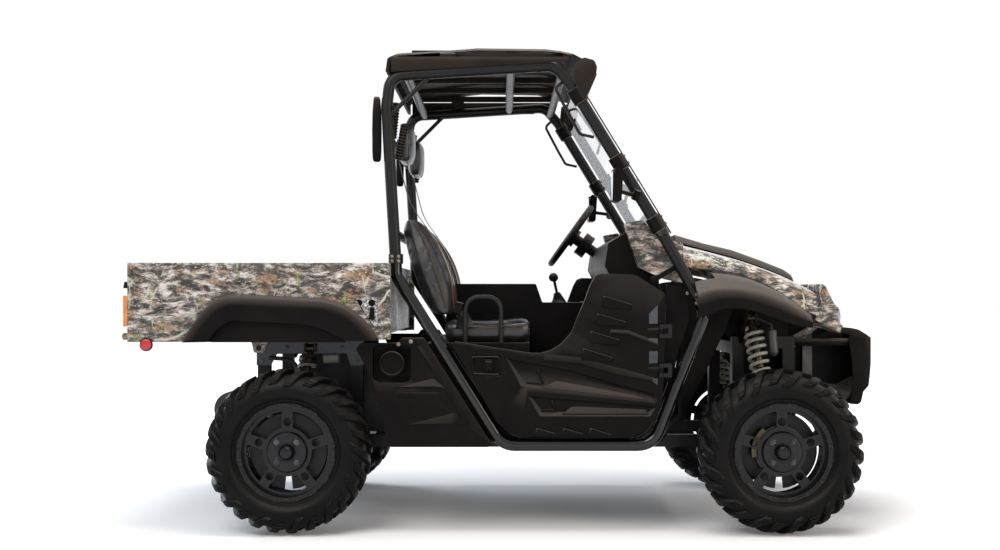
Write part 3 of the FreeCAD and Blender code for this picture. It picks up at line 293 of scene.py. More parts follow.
MATERIALS = {
    "tyre": rubber(), "seat_vinyl": vinyl(), "belt_webbing": webbing(), "clear_screen": clear_sheet(),
    "mottled_plate": mottled_plate(), "camo_panel": camouflage("camo_film"),
    "striped_camo": camouflage("striped_camo_film", (0.2, 0.405)),
    **made(
        enamel, rim_black=(0.003, 0.006, (0.2, 0.32), 0.1),
        frame_black=(0.004, (0.008, 0.0075, 0.0075), (0.34, 0.48), 0.03),
        tube_gloss_black=(0.002, 0.004, (0.12, 0.2), 0.45),
        shock_grey=((0.40, 0.39, 0.35), (0.54, 0.52, 0.47), (0.3, 0.45), 0.3),
        hub_grey=((0.008, 0.009, 0.012), (0.016, 0.017, 0.021), (0.34, 0.46), 0.05),
        tower_blue_black=((0.012, 0.016, 0.024), (0.028, 0.036, 0.050), (0.24, 0.36), 0.4),
        hinge_grey=((0.045, 0.048, 0.058), (0.075, 0.08, 0.092), (0.4, 0.55), 0.05)),
    **made(
        grained_plastic, black_plastic=((0.0035, 0.003, 0.003), (0.0075, 0.0065, 0.006)),
        roof_plastic=((0.016, 0.0125, 0.010), (0.027, 0.021, 0.017), (0.48, 0.62)),
        brown_piping=((0.06, 0.030, 0.016), (0.10, 0.052, 0.028))),
    **made(
        lens, lamp_lens=((0.75, 0.78, 0.82), (0.9, 0.92, 0.95), 0.8),
        amber_lens=((0.75, 0.20, 0.02), (0.95, 0.32, 0.04), 0.2),
        red_lens=((0.42, 0.004, 0.006), (0.62, 0.01, 0.012), 0.1)),
    **made(
        metal, cast_metal=((0.05, 0.05, 0.053), (0.11, 0.107, 0.105), (0.45, 0.65)),
        engine_metal=((0.03, 0.03, 0.034), (0.07, 0.07, 0.075), (0.5, 0.7)),
        steel=((0.04, 0.04, 0.044), (0.10, 0.095, 0.095), (0.35, 0.55)),
        bolt_steel=((0.10, 0.09, 0.08), (0.20, 0.18, 0.155), (0.3, 0.45)),
        damper_dark=((0.04, 0.036, 0.022), (0.10, 0.088, 0.05), (0.3, 0.45)),
        mirror_glass=((0.80, 0.82, 0.84), (0.88, 0.89, 0.90), (0.03, 0.06), 0.0)),
}


def dress_nodes():
    """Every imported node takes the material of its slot."""
    for part in frame["record"]["subparts"]:
        materials = frame["nodes"][part["node"]].data.materials
        materials.clear()
        materials.append(MATERIALS[part["material_slot"]])
    frame["nodes"]["hood"].data.materials[0] = MATERIALS["striped_camo"]


# Mesh builders


def linked(name, data):
    """An object in the scene for a mesh, a lamp or a camera."""
    thing = bpy.data.objects.new(name, data)
    bpy.context.scene.collection.objects.link(thing)
    return thing


def skin(name, vertices, faces):
    """A mesh from points in millimetres."""
    mesh = bpy.data.meshes.new(name)
    mesh.from_pydata([at(*v) for v in vertices], [], faces)
    return mesh


def coated(mesh, look):
    """Gives a mesh one material and smooth faces."""
    mesh.materials.clear()
    mesh.materials.append(MATERIALS[look])
    for polygon in mesh.polygons:
        polygon.use_smooth = True
        polygon.material_index = 0


def placed(thing, body, slot, smooth):
    """Puts a piece on its body. Edges sharper than smooth stay sharp."""
    thing.data.set_sharp_from_angle(angle=math.radians(smooth))
    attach(thing, body)
    return thing


class Mesh:
    """Points and faces in millimetres, added shape by shape and then made one piece."""

    def __init__(self, *shapes):
        self.vertices = []
        self.faces = []
        for shape in shapes:
            self.add(*shape)

    def add(self, vertices, faces):
        start = len(self.vertices)
        self.vertices.extend(tuple(v) for v in vertices)
        self.faces.extend(tuple(start + index for index in face) for face in faces)

    def doubled(self):
        """The shapes with their mirror images on the other side of the vehicle."""
        return Mesh((self.vertices, self.faces), ([(x, -y, z) for x, y, z in self.vertices], flipped(self.faces)))

    def piece(self, name, look="black_plastic", body="chassis", slot=None, smooth=35.0):
        """A piece that rides on a body; the slot argument is not used."""
        mesh = skin(name, self.vertices, self.faces)
        coated(mesh, look)
        return placed(linked(name, mesh), body, slot or look, smooth)


def flipped(faces):
    return [tuple(reversed(face)) for face in faces]


def on_side(side, points):
    return [(x, side * y, z) for x, y, z in points]


def both_sides(shapes):
    """One mesh of the shapes that a function makes for each side, -1 being the right one."""
    return Mesh(*(shape for side in (-1, 1) for shape in shapes(side)))


def lattice(rows, ring=False):
    """Quads between rows that are closed loops of equal length; a ring joins the last row to the first."""
    width = len(rows[0])
    vertices = [point for row in rows for point in row]
    faces = []
    for i in range(len(rows) if ring else len(rows) - 1):
        following = (i + 1) % len(rows)
        for j in range(width):
            beside = (j + 1) % width
            faces.append((i * width + j, i * width + beside, following * width + beside, following * width + j))
    return vertices, faces


def capped(rows):
    """A closed skin: rows of closed loops with a face at each end."""
    vertices, faces = lattice(rows)
    width = len(rows[0])
    last = (len(rows) - 1) * width
    faces.append(tuple(range(width - 1, -1, -1)))
    faces.append(tuple(last + j for j in range(width)))
    return vertices, faces


def bend(before, corner, after, radius, steps):
    """Points round one corner of a line."""
    before, after = before - corner, after - corner
    reach = min(radius, 0.45 * before.length, 0.45 * after.length)
    start = corner + before.normalized() * reach
    end = corner + after.normalized() * reach
    shares = [k / steps for k in range(steps + 1)]
    return [start.lerp(corner, t).lerp(corner.lerp(end, t), t) for t in shares]


def rounded_path(points, radius, steps=5):
    """Points along straight runs with rounded corners."""
    points = [Vector(p) for p in points]
    path = [points[0]]
    for before, corner, after in zip(points, points[1:], points[2:]):
        path += bend(before, corner, after, radius, steps)
    return path + [points[-1]]


def heading(path, i):
    """The direction of a path at one of its points."""
    return (path[min(i + 1, len(path) - 1)] - path[max(i - 1, 0)]).normalized()


def frames_along(path):
    """A side and an up vector at each point of a path, turning as little as they can."""
    result = []
    side = None
    for i, point in enumerate(path):
        ahead = heading(path, i)
        if side is None:
            side = ahead.cross(Vector((0, 0, 1)))
            if side.length < 0.05:
                side = ahead.cross(Vector((0, 1, 0)))
        side = (side - ahead * side.dot(ahead)).normalized()
        result.append((point, side, side.cross(ahead).normalized()))
    return result


def tube_mesh(path, radius, sides):
    """A round tube along a path, closed at its ends."""
    path = [Vector(p) for p in path]
    turn = [2 * math.pi * k / sides for k in range(sides)]
    return capped([[point + (side * math.cos(a) + lift * math.sin(a)) * radius for a in turn]
                   for point, side, lift in frames_along(path)])


def strap_mesh(path, width, thickness, across):
    """A flat strap along a path; across is the direction of its width."""
    rows = []
    wide = Vector(across)
    for i, point in enumerate(path):
        ahead = heading(path, i)
        side = (wide - ahead * wide.dot(ahead)).normalized()
        lift = side.cross(ahead).normalized() * thickness / 2
        half = side * width / 2
        inset = side * (width / 2 - thickness)
        edge = lift * 0.3
        rows.append([point - half - edge, point - inset - lift, point + inset - lift, point + half - edge,
                     point + half + edge, point + inset + lift, point - inset + lift, point - half + edge])
    return capped(rows)


def turned(profile, middle, axis, segments):
    """A revolved closed skin: profile points are (distance along the axis, radius), from one end to the other."""
    axis = Vector(axis).normalized()
    side = axis.orthogonal().normalized()
    lift = axis.cross(side)
    middle = Vector(middle)
    rows = []
    for along, radius in profile:
        rows.append([middle + axis * along + (side * math.cos(a) + lift * math.sin(a)) * max(radius, 0.01)
                     for a in (2 * math.pi * k / segments for k in range(segments))])
    return capped(rows)


def prism(outline, y0, y1, edge):
    """An outline seen from the side, (X, Z), made solid from y0 out to y1 with a chamfered outer edge."""
    centre = [sum(values) / len(outline) for values in zip(*outline)]
    toward = 1 if y1 > y0 else -1
    rows = []
    for y, inset in ((y0, 0.0), (y1 - toward * edge, 0.0), (y1, edge)):
        row = []
        for x, z in outline:
            away = math.hypot(x - centre[0], z - centre[1])
            share = 1 - inset / away
            row.append((centre[0] + (x - centre[0]) * share, y, centre[1] + (z - centre[1]) * share))
        rows.append(row)
    return capped(rows)


def box(x0, x1, y0, y1, z0, z1, edge=1.5):
    return prism([(x0, z0), (x1, z0), (x1, z1), (x0, z1)], y0, y1, edge)


def bolt_head(middle, axis, radius, height):
    """A flanged dome-head screw."""
    profile = [(-1.0, radius * 1.35), (height * 0.25, radius * 1.35), (height * 0.3, radius), (height * 0.75, radius),
               (height, radius * 0.62), (height * 0.9, radius * 0.42), (height * 0.55, radius * 0.4)]
    return turned(profile, middle, axis, 14)


def hex_nut(middle, axis, radius, height):
    return turned([(-1.0, radius * 1.3), (height * 0.2, radius * 1.3), (height * 0.22, radius),
                   (height * 0.92, radius), (height, radius * 0.85), (height, radius * 0.5),
                   (height * 1.3, radius * 0.45)], middle, axis, 6)


# Wheels

TYRE_OUTER_Y = 740.0
TYRE_RADIUS = 322.0
LUG_HEIGHT = 19.0
LUGS = 26
CARCASS_SEGMENTS = 104
BEAD_INSET = 32.0
FLANGE_WIDTH = 7.0
DISC_DEPTH = 34.0
RING_SEGMENTS = 16
RING_SCREWS_AT = 184  # radius of their circle
NUTS_AT = 55


def tyre_profile(width):
    """Half of the carcass from the bead to the crown: (radius, distance from the tyre's middle)."""
    half = width / 2
    crown = TYRE_RADIUS - LUG_HEIGHT
    return [
        (181, half - 46), (184, half - 33), (193, half - 29), (199, half - 27), (201, half - 23), (206, half - 22),
        (208, half - 17), (216, half - 8), (226, half - 3), (240, half - 1), (252, half - 3), (264, half - 7),
        (275, half - 13), (285, half - 22), (293, half - 34), (crown - 5, half - 48), (crown - 2, half * 0.42),
        (crown, 0.0),
    ]


def along_profile(profile, share):
    """A point and its outward direction at a share of the profile's length."""
    points = [Vector((r, w)) for r, w in profile]
    lengths = [(b - a).length for a, b in zip(points, points[1:])]
    left = share * sum(lengths)
    for (start, end), length in zip(zip(points, points[1:]), lengths):
        if left <= length or end == points[-1]:
            ahead = (end - start).normalized()
            return start + ahead * left, Vector((ahead.y, -ahead.x)) * -1
        left -= length


# One tread lug from the sidewall to the crown's middle: share of the profile, turn about the axle in
# radians, width and height in millimetres. Every second lug leaves out its first two stations.
LUG_STATIONS = [
    (0.00, 0.000, 25, 3.0), (0.05, 0.022, 29, 8.0), (0.14, 0.062, 31, 11.0), (0.24, 0.104, 31, 14.5),
    (0.36, 0.142, 29, 19.0), (0.50, 0.176, 26, 19.0), (0.68, 0.214, 23, 19.0), (0.86, 0.250, 20, 19.0),
    (0.97, 0.270, 16, 18.5),
]
# Low ribs across a lug's shoulder: share of the profile, turn, height. Every second lug leaves out two.
LUG_RIBS = ((0.075, 0.033, 9.0), (0.135, 0.060, 11.2), (0.195, 0.085, 13.0), (0.255, 0.109, 15.3))


def tyre(place, x, side, width):
    """Carcass and tread of one tyre. side is -1 on the right."""
    profile = tyre_profile(width)
    middle_y = side * (TYRE_OUTER_Y - width / 2)
    mesh = Mesh()
    loop = profile + [(r, -w) for r, w in reversed(profile[:-1])]

    def spot(radius, across, angle):
        return (x + radius * math.sin(angle), middle_y + side * across, HUB_Z + radius * math.cos(angle))

    def ring(point, out, half_side, angle, wide, rise, low=-3.0, chamfer=2.2):
        """A lug's section: its two feet, its two edges and its top."""
        base = point + out * low
        edge = point + out * (rise - chamfer)
        top = point + out * rise
        foot = (wide / 2 + 2.5) / point.x
        half_angle = wide / 2 / point.x
        slim = (wide / 2 - chamfer) / point.x
        return [spot(p.x, half_side * p.y, angle + turn) for p, turn in (
            (base, -foot), (edge, -half_angle), (top, -slim), (top, slim), (edge, half_angle), (base, foot))]

    def add(rows, turn_over):
        vertices, faces = capped(rows)
        mesh.add(vertices, faces if turn_over else flipped(faces))

    rows = [[spot(r, w, 2 * math.pi * i / CARCASS_SEGMENTS) for r, w in loop] for i in range(CARCASS_SEGMENTS)]
    vertices, faces = lattice(rows, ring=True)
    mesh.add(vertices, faces if side < 0 else flipped(faces))
    tread = profile[10:]
    for half_side in (1, -1):
        turn_over = (side < 0) == (half_side > 0)
        for i in range(LUGS):
            base_angle = (i + (0.0 if half_side == 1 else 0.5)) * 2 * math.pi / LUGS
            left_out = 2 * (i % 2)
            rows = []
            for number, (share, turn, wide, rise) in enumerate(LUG_STATIONS[left_out:]):
                point, out = along_profile(tread, share)
                rows.append(ring(point, out, half_side, base_angle + turn, wide, rise if number else 0.5 * rise))
            add(rows, turn_over)
            for share, turn, rise in LUG_RIBS[left_out:]:
                rows = []
                for step in (-0.011, 0.011):
                    point, out = along_profile(tread, share + step)
                    rows.append(ring(point, out, half_side, base_angle + turn, 20, rise + 1.6, rise - 1.0, 0.6))
                add(rows, turn_over)
    thing = mesh.piece("treaded_tyre_" + place, "tyre", "wheel_" + place, smooth=32.0)
    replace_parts(thing, "tyre_" + place)


def around_axle(x, side, stations):
    """A closed skin swept about an axle, from angles with sections of (radius, distance out)."""
    return capped([[(x + r * math.cos(a), side * y, HUB_Z + r * math.sin(a)) for r, y in section]
                   for a, section in stations])


def wheel_details(place, x, side):
    """Lug nuts, the hub's cap, the satin centre plate, and the bead ring's segments with screws."""
    outer = TYRE_OUTER_Y - BEAD_INSET + FLANGE_WIDTH
    face = outer - DISC_DEPTH
    axis = (0, side, 0)
    step = 2 * math.pi / RING_SEGMENTS
    dark = Mesh()
    bright = Mesh()
    for i in range(4):
        angle = math.radians(45 + 90 * i)
        spot = (x + NUTS_AT * math.cos(angle), side * (face + 15), HUB_Z + NUTS_AT * math.sin(angle))
        bright.add(*hex_nut(spot, axis, 10, 15))
        dark.add(*turned([(-1, 16), (1.5, 16), (2.5, 14.5)], spot, axis, 20))
    dark.add(*turned([(-1, 26), (0.5, 26), (3, 24), (6, 21), (7.5, 10)], (x, side * (face + 40), HUB_Z), axis, 24))
    for i in range(RING_SEGMENTS):
        angle = 2 * math.pi * (i + 0.5) / RING_SEGMENTS
        spot = (x + RING_SCREWS_AT * math.cos(angle), side * outer, HUB_Z + RING_SCREWS_AT * math.sin(angle))
        dark.add(*bolt_head(spot, axis, 3.6, 4.5))
        stations = []
        for k in range(9):
            ends = 0.35 if k in (0, 8) else 1.0
            stations.append((2 * math.pi * i / RING_SEGMENTS + step * 0.62 * (k / 8 - 0.5), [
                (178.5, outer), (179, outer + 2.4 * ends), (181, outer + 3.4 * ends), (188, outer + 3.4 * ends),
                (190, outer + 2.2 * ends), (191, outer)]))
        dark.add(*around_axle(x, side, stations))
    body = "wheel_" + place
    dark.piece(place + "_rim_ring", "rim_black", body)
    bright.piece(place + "_wheel_nuts", "steel", body, "rim_black")
    plate = [(13.0, 33), (15.0, 33), (15.6, 36), (15.6, 68), (14.6, 71), (13.4, 71)]
    Mesh(turned(plate, (x, side * face, HUB_Z), axis, 48)).piece(
        place + "_centre_plate", "hub_grey", body, "rim_black")


def brakes():
    """Front discs, calipers on the knuckles and dust shields, seen through the rims' windows."""
    for word, side in SIDES:
        knuckle = "knuckle_front_" + word
        disc = [(-2.2, 58), (-2.2, 99), (-1.4, 100), (1.4, 100), (2.2, 99), (2.2, 58)]
        Mesh(turned(disc, (WHEELBASE, side * 652, HUB_Z), (0, side, 0), 56)).piece(
            "brake_disc_" + word, "steel", "wheel_front_" + word)
        for end, x, y0, y1, body in (("front", WHEELBASE, 622, 625, knuckle), ("rear", 0.0, 640, 643, "chassis")):
            section = [(64, y0), (146, y0), (150, y0 - 6), (152, y0 - 6), (149, y1), (64, y1)]
            Mesh(around_axle(x, side, [(math.radians(-84 + 348 * k / 56), section) for k in range(57)])).piece(
                end + "_dust_shield_" + word, "frame_black", body, "cast_metal")
        Mesh(*(around_axle(WHEELBASE, side, [
            (math.radians(128 + 8 * k), [(low, y0), (116, y0), (116, y1), (low, y1)]) for k in range(9)])
            for low, y0, y1 in ((62, 630, 646), (104, 646, 658), (74, 658, 668)))).piece(
            "brake_caliper_" + word, "damper_dark", knuckle, "cast_metal")


def wheels():
    for end, x, width in (("rear", 0.0, 254.0), ("front", WHEELBASE, 215.0)):
        for word, side in SIDES:
            tyre(end + "_" + word, x, side, width)
            wheel_details(end + "_" + word, x, side)
    brakes()


# Springs

FRONT_SHOCK = ((WHEELBASE - 57, -345, 838), (WHEELBASE - 10, -455, 466))
REAR_SHOCK = ((40, -345, 712), (5, -455, 440))


def coil_over(dampers, coils, ends, spring_start, spring_end, coil_radius, wire, turns):
    """A spring round a damper, with end eyes, added to two meshes."""
    top, bottom = (Vector(end) for end in ends)
    along = (bottom - top).normalized()
    length = (bottom - top).length
    dampers.add(*turned([(0, 9), (12, 11), (spring_start - 6, 11), (spring_start - 4, coil_radius + 5),
                         (spring_start - 1, coil_radius + 5), (spring_start, 18), (length * 0.55, 18),
                         (length * 0.56, 8), (length - spring_end, 8), (length - spring_end + 0.5, coil_radius + 5),
                         (length - spring_end + 6, coil_radius + 5), (length - spring_end + 7, 21),
                         (length - 14, 21), (length, 12)], top, along, 28))
    for end in (top, bottom):
        dampers.add(*turned([(-16, 10), (-15, 16.5), (15, 16.5), (16, 10)], end, (1, 0, 0), 24))
    side = along.orthogonal().normalized()
    lift = along.cross(side)
    path = []
    steps = int(turns * 26)
    free = length - spring_start - spring_end
    for i in range(steps + 1):
        t = i / steps
        angle = 2 * math.pi * turns * t
        ease = t + 0.018 * math.sin(2 * math.pi * (t - 0.5))
        centre = top + along * (spring_start + wire + 0.5 + (free - 2 * wire - 1) * ease)
        path.append(centre + (side * math.cos(angle) + lift * math.sin(angle)) * coil_radius)
    coils.add(*tube_mesh(path, wire, 10))


def springs():
    dampers = Mesh()
    coils = Mesh()
    coil_over(dampers, coils, FRONT_SHOCK, 41, 62, 36, 7.2, 9)
    coil_over(dampers, coils, REAR_SHOCK, 47, 54, 33, 6.0, 5)
    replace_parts(dampers.doubled().piece("damper_bodies", "damper_dark", slot="shock_grey"), "shock_absorbers")
    coils.doubled().piece("coil_springs", "shock_grey")
    hose = ((1945, -393, 790), (1944, -388, 812), (1915, -362, 826), (1884, -347, 836))
    tanks = Mesh(turned([(0, 12), (4, 20), (96, 20), (104, 14), (110, 8)], (1945, -393, 792), (0.08, 0, -1), 26),
                 tube_mesh(rounded_path(hose, 16), 6, 10))
    tanks.doubled().piece("damper_reservoirs", "cast_metal")


# Moulded forms

SOFT_ANGLE = 38  # degrees; sharper edges are rounded
FLOW_STEPS = 3  # between two given points of a smooth curve


def raw(vertices, faces):
    """An unnamed closed solid, for cutting or joining."""
    return wrapped(skin("solid", vertices, faces))


def solid(rows):
    return raw(*capped(rows))


def wrapped(mesh):
    """A mesh with merged points and outward faces, as an object in the scene."""
    shape = bmesh.new()
    shape.from_mesh(mesh)
    bmesh.ops.remove_doubles(shape, verts=shape.verts, dist=0.00001)
    bmesh.ops.recalc_face_normals(shape, faces=shape.faces)
    shape.to_mesh(mesh)
    shape.free()
    return linked("solid", mesh)


def copied(node):
    return wrapped(frame["nodes"][node].data.copy())


def applied(thing):
    """Turns an object's modifiers into its mesh."""
    graph = bpy.context.evaluated_depsgraph_get()
    mesh = bpy.data.meshes.new_from_object(thing.evaluated_get(graph))
    thing.modifiers.clear()
    thing.data = mesh
    return thing


def combined(thing, others, operation):
    for other in others:
        modifier = thing.modifiers.new("combine", "BOOLEAN")
        modifier.operation = operation
        modifier.solver = "EXACT"
        modifier.object = other
    applied(thing)
    for other in others:
        bpy.data.objects.remove(other)
    return thing


def cut(thing, others):
    return combined(thing, others, "DIFFERENCE")


def common(thing, others):
    return combined(thing, others, "INTERSECT")


def joined(things):
    """Several solids as one object, with no change to their skins."""
    shape = bmesh.new()
    for thing in things:
        shape.from_mesh(thing.data)
    mesh = bpy.data.meshes.new("solid")
    shape.to_mesh(mesh)
    shape.free()
    for thing in things:
        bpy.data.objects.remove(thing)
    return linked("solid", mesh)


def finished(thing, name, look="black_plastic", body="chassis", slot=None, node=None, edge=1.5, smooth=35.0):
    """Names a solid, softens its edges and puts it on a body."""
    thing.name = name
    coated(thing.data, look)
    bevel = thing.modifiers.new("soft_edges", "BEVEL")
    bevel.width = edge * MM
    bevel.segments = 2
    bevel.limit_method = "ANGLE"
    bevel.angle_limit = math.radians(SOFT_ANGLE)
    placed(applied(thing), body, slot or look, smooth)
    if node:
        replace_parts(thing, node)


def rounded(points, radius, steps=4):
    """A closed 2-D outline with rounded corners."""
    if not radius:
        return list(points)
    points = [Vector(p) for p in points]
    outline = []
    for i, corner in enumerate(points):
        outline += bend(points[i - 1], corner, points[(i + 1) % len(points)], radius, steps)
    return outline


def side_plate(points, y0, y1, radius=0.0):
    outline = rounded(points, radius)
    return solid([[(u, y, v) for u, v in outline] for y in (y0, y1)])


def end_plate(points, x0, x1, radius=0.0):
    outline = rounded(points, radius)
    return solid([[(x, u, v) for u, v in outline] for x in (x0, x1)])


def block(x0, x1, y0, y1, z0, z1):
    return end_plate([(y0, z0), (y1, z0), (y1, z1), (y0, z1)], x0, x1)


def oblong(start, end, width, y0, y1):
    """A straight slot's shape between two (X, Z) points, made solid between two Y values."""
    along = (Vector(end) - Vector(start)).normalized() * width / 2
    across = Vector((-along.y, along.x))
    start, end = Vector(start), Vector(end)
    return side_plate([start - across, end - across, end + across, start + across], y0, y1, 0.4 * width)


def flowing(points):
    """More points on a smooth curve through an open line or a list of rows."""
    result = []
    for i in range(len(points) - 1):
        p0, p1, p2, p3 = (points[max(i - 1, 0)], points[i], points[i + 1], points[min(i + 2, len(points) - 1)])
        for k in range(FLOW_STEPS):
            t = k / FLOW_STEPS
            result.append(tuple(0.5 * (2 * b + (c - a) * t + (2 * a - 5 * b + 4 * c - d) * t * t
                                       + (3 * b - a - 3 * c + d) * t ** 3) for a, b, c, d in zip(p0, p1, p2, p3)))
    result.append(tuple(points[-1]))
    return result


def flowing_rows(rows):
    """Smooth rows between sections of equal length."""
    columns = [flowing([tuple(row[j]) for row in rows]) for j in range(len(rows[0]))]
    return [list(row) for row in zip(*columns)]


def strip(line, wall):
    """An open 2-D line thickened to its left, as a closed outline."""
    inner = []
    for i, (u, v) in enumerate(line):
        before = line[max(i - 1, 0)]
        after = line[min(i + 1, len(line) - 1)]
        du = after[0] - before[0]
        dv = after[1] - before[1]
        length = math.hypot(du, dv)
        inner.append((u - dv / length * wall, v + du / length * wall))
    return list(line) + inner[::-1]


def mirrored_rows(rows):
    return [on_side(-1, row) for row in rows]


def ledge(side, *levels):
    """A solid through (X, Z) outlines, each at its own distance from the vehicle's middle."""
    return solid([[(x, side * y, z) for x, z in outline] for outline, y in levels])


PANEL = 5.0
OUTER_Y = 740.0
HOOD_Y = 470.0
FLARE_Y = 700.3
BUMPER_SLOTS = (582, 622, 662)


def fenders():
    """Front fenders: a sloping top, a rounded ridge and a drop to the arch's lip."""
    stations = [  # X, then the heights of the inner edge, ridge and lip
        (1590, 1013, 944, 846), (1614, 1020, 952, 848), (1645, 1023, 961, 858), (1685, 1023, 966, 875),
        (1746, 1017, 965, 879), (1790, 1009, 957, 874), (1834, 996, 947, 861), (1879, 977, 931, 846),
        (1923, 956, 912, 829), (1970, 926, 888, 813), (2005, 895, 868, 808), (2033, 858, 848, 806),
    ]
    inner_y = -HOOD_Y - 5
    ridge_y = -OUTER_Y + 12
    rows = []
    for x, top, ridge, lip in stations:
        line = [(inner_y, top), (inner_y - 90, top - 5), (inner_y - 170, ridge + 0.62 * (top - ridge)),
                (ridge_y + 28, ridge + 6), (ridge_y, ridge - 10), (-OUTER_Y, 0.5 * (ridge + lip)),
                (-OUTER_Y + 2, lip + 8), (-OUTER_Y + 9, lip)]
        rows.append([(x, y, z) for y, z in strip(flowing(line), PANEL)])
    rows = flowing_rows(rows)
    parts = []
    for side, half in ((-1, rows), (1, mirrored_rows(rows))):
        room = block(1540, 1668, *sorted((side * 652, side * 460)), 780, 1040)
        wall = block(2028, 2033, *sorted((side * 726, side * 475)), 806, 846)
        strut = raw(*tube_mesh([(1830, side * 330, 738), (1830, side * 560, 984)], 9, 14))
        parts += [cut(solid(half), [room]), wall, strut]
    finished(joined(parts), "moulded_fenders", node="front_fenders", edge=1.2)


def flares():
    """Bed flares: a rounded channel that follows each wheel opening."""
    pairs = [  # on the outer edge, then on the edge beside the tyre
        ((-403, 749), (-293, 751)), ((-374, 796), (-278, 772)), ((-346, 839), (-262, 793)),
        ((-300, 893), (-243, 808)), ((-255, 923), (-218, 822)), ((-208, 935), (-190, 828)), ((-100, 932), (-85, 823)),
        ((6, 927), (5, 818)), ((90, 922), (62, 814)), ((159, 916), (104, 807)), ((236, 889), (150, 793)),
        ((305, 835), (190, 774)), ((351, 774), (220, 759)), ((359, 755), (228, 755)),
    ]
    base = -FLARE_Y
    top = -OUTER_Y
    rows = []
    for outer, inner in pairs:
        du = inner[0] - outer[0]
        dv = inner[1] - outer[1]
        length = math.hypot(du, dv)
        line = [(0, base), (0, base - 11), (5, base - 26), (18, top + 5), (42, top + 0.5), (length - 18, top + 1),
                (length - 5, top + 6), (length, top + 16), (length, base)]
        rows.append([(outer[0] + du / length * along, y, outer[1] + dv / length * along)
                     for along, y in strip(line, PANEL)])
    rows = flowing_rows(rows)
    sides = [solid(rows), solid(mirrored_rows(rows))]
    finished(joined(sides), "moulded_bed_flares", body="bed", node="bed_flares", smooth=40.0)


HOOD_LINE = [(1600, 1138), (1799, 1085), (1960, 1030), (2062, 985)]


def hood_height(x):
    for (x0, z0), (x1, z1) in zip(HOOD_LINE, HOOD_LINE[1:]):
        if x <= x1 or x1 == HOOD_LINE[-1][0]:
            return z0 + (z1 - z0) * (x - x0) / (x1 - x0)


def hood():
    """The hood's shell with falling sides, and the scoop on its level middle."""
    stations = [(1560, 1150, 1052), (1600, 1138, 1044), (1799, 1085, 1018), (1960, 1030, 946), (2062, 985, 874),
                (2122, 953, 846)]
    shares = [(1.0, 1.0), (0.985, 0.8), (0.955, 0.5), (0.9, 0.25), (0.82, 0.1), (0.7, 0.03)]
    rows = []
    for x, middle, edge in stations:
        half = [(share * HOOD_Y, middle - drop * (middle - edge)) for share, drop in shares]
        half += [(200, middle), (0, middle)]
        line = half + [(-y, z) for y, z in reversed(half[:-1])]
        rows.append([(x, y, z) for y, z in strip(line, 6)])
    parts = [solid(flowing_rows(rows))]
    for y in (-200, 200):
        parts.append(side_plate([(2085, 966), (2137, 966), (2139, 946), (2117, 939)], y - 15, y + 15, 4))
    finished(joined(parts), "moulded_hood", "striped_camo", "hood", "camo_panel", node="hood", edge=1.0, smooth=30.0)
    gap = 0.4
    seat = [(x, z + gap) for x, z in reversed(HOOD_LINE)]
    raised = [(1576, 1148), (1574, 1191), (1698, 1154), (1821, 1125), (1943, 1081), (2041, 1042), (2076, 1018),
              (2084, 979)]
    rows = []
    for y, share in ((-200, 0.35), (-190, 0.7), (-165, 1.0), (-60, 1.03), (60, 1.03), (165, 1.0), (190, 0.7),
                     (200, 0.35)):
        rows.append([(x, y, hood_height(x) + gap + min(share, 1.0) * (z - hood_height(x) - gap))
                     for x, z in raised] + [(x, y, z) for x, z in seat])
    finished(solid(rows), "moulded_scoop", body="hood", node="hood_scoop", edge=3.0, smooth=32.0)


def roof():
    """The roof with its long edges rolled over and cheeks beside the screen."""
    across = 613.0
    crown = [(-across, 1700), (across, 1700), (across, 1866), (across - 14, 1888), (across - 48, 1904),
             (across - 110, 1990), (-across + 110, 1990), (-across + 48, 1904), (-across + 14, 1888), (-across, 1866)]
    parts = [common(copied("roof"), [end_plate(crown, 300, 1325, 12)])]
    cheek = [(1125, 1852), (1160, 1870), (1200, 1858), (1211, 1832), (1206, 1800), (1190, 1759), (1165, 1712),
             (1147, 1724), (1119, 1790)]
    for side in (-1, 1):
        parts.append(side_plate(cheek, *sorted((side * 613, side * 608.6)), 8))
    for y in (-550, -280, 0, 280, 550):
        parts.append(block(430, 1080, y - 9, y + 9, 1868, 1893))
    finished(joined(parts), "moulded_roof", "roof_plastic", node="roof", edge=2.0)


def front_corner(front, half, low, high, bulge):
    """A solid with the rounded front that a moulding shows from above."""
    back = 1900
    outline = rounded([
        (back, -half), (front - bulge, -half), (front - 0.3 * bulge, 60 - half), (front, 150 - half),
        (front, half - 150), (front - 0.3 * bulge, half - 60), (front - bulge, half), (back, half)], 25)
    return solid([[(x, y, z) for x, y in outline] for z in (low, high)])


def nose():
    shell = common(copied("nose_panel"), [front_corner(2250, 430, 600, 1100, 34)])
    finished(shell, "moulded_nose", "camo_panel", node="nose_panel", edge=1.2)
    glass = common(copied("headlamps"), [front_corner(2250, 430, 600, 1100, 34)])
    finished(glass, "headlamp_lenses", "lamp_lens", node="headlamps", edge=1.0)
    body = common(copied("front_bumper"), [front_corner(2388, 330, 200, 1000, 14)])
    slots = [side_plate([(2318, z), (2398, z), (2398, z + 20), (2318, z + 20)], -190, 190) for z in BUMPER_SLOTS]
    finished(cut(body, slots), "moulded_bumper", node="front_bumper", edge=2.5)
    core = cut(copied("radiator"), [block(2145, 2155, y - 12, y + 12, 500, 750) for y in range(-200, 201, 40)])
    finished(core, "finned_radiator", "cast_metal", slot="engine_metal", node="radiator", edge=0.8)


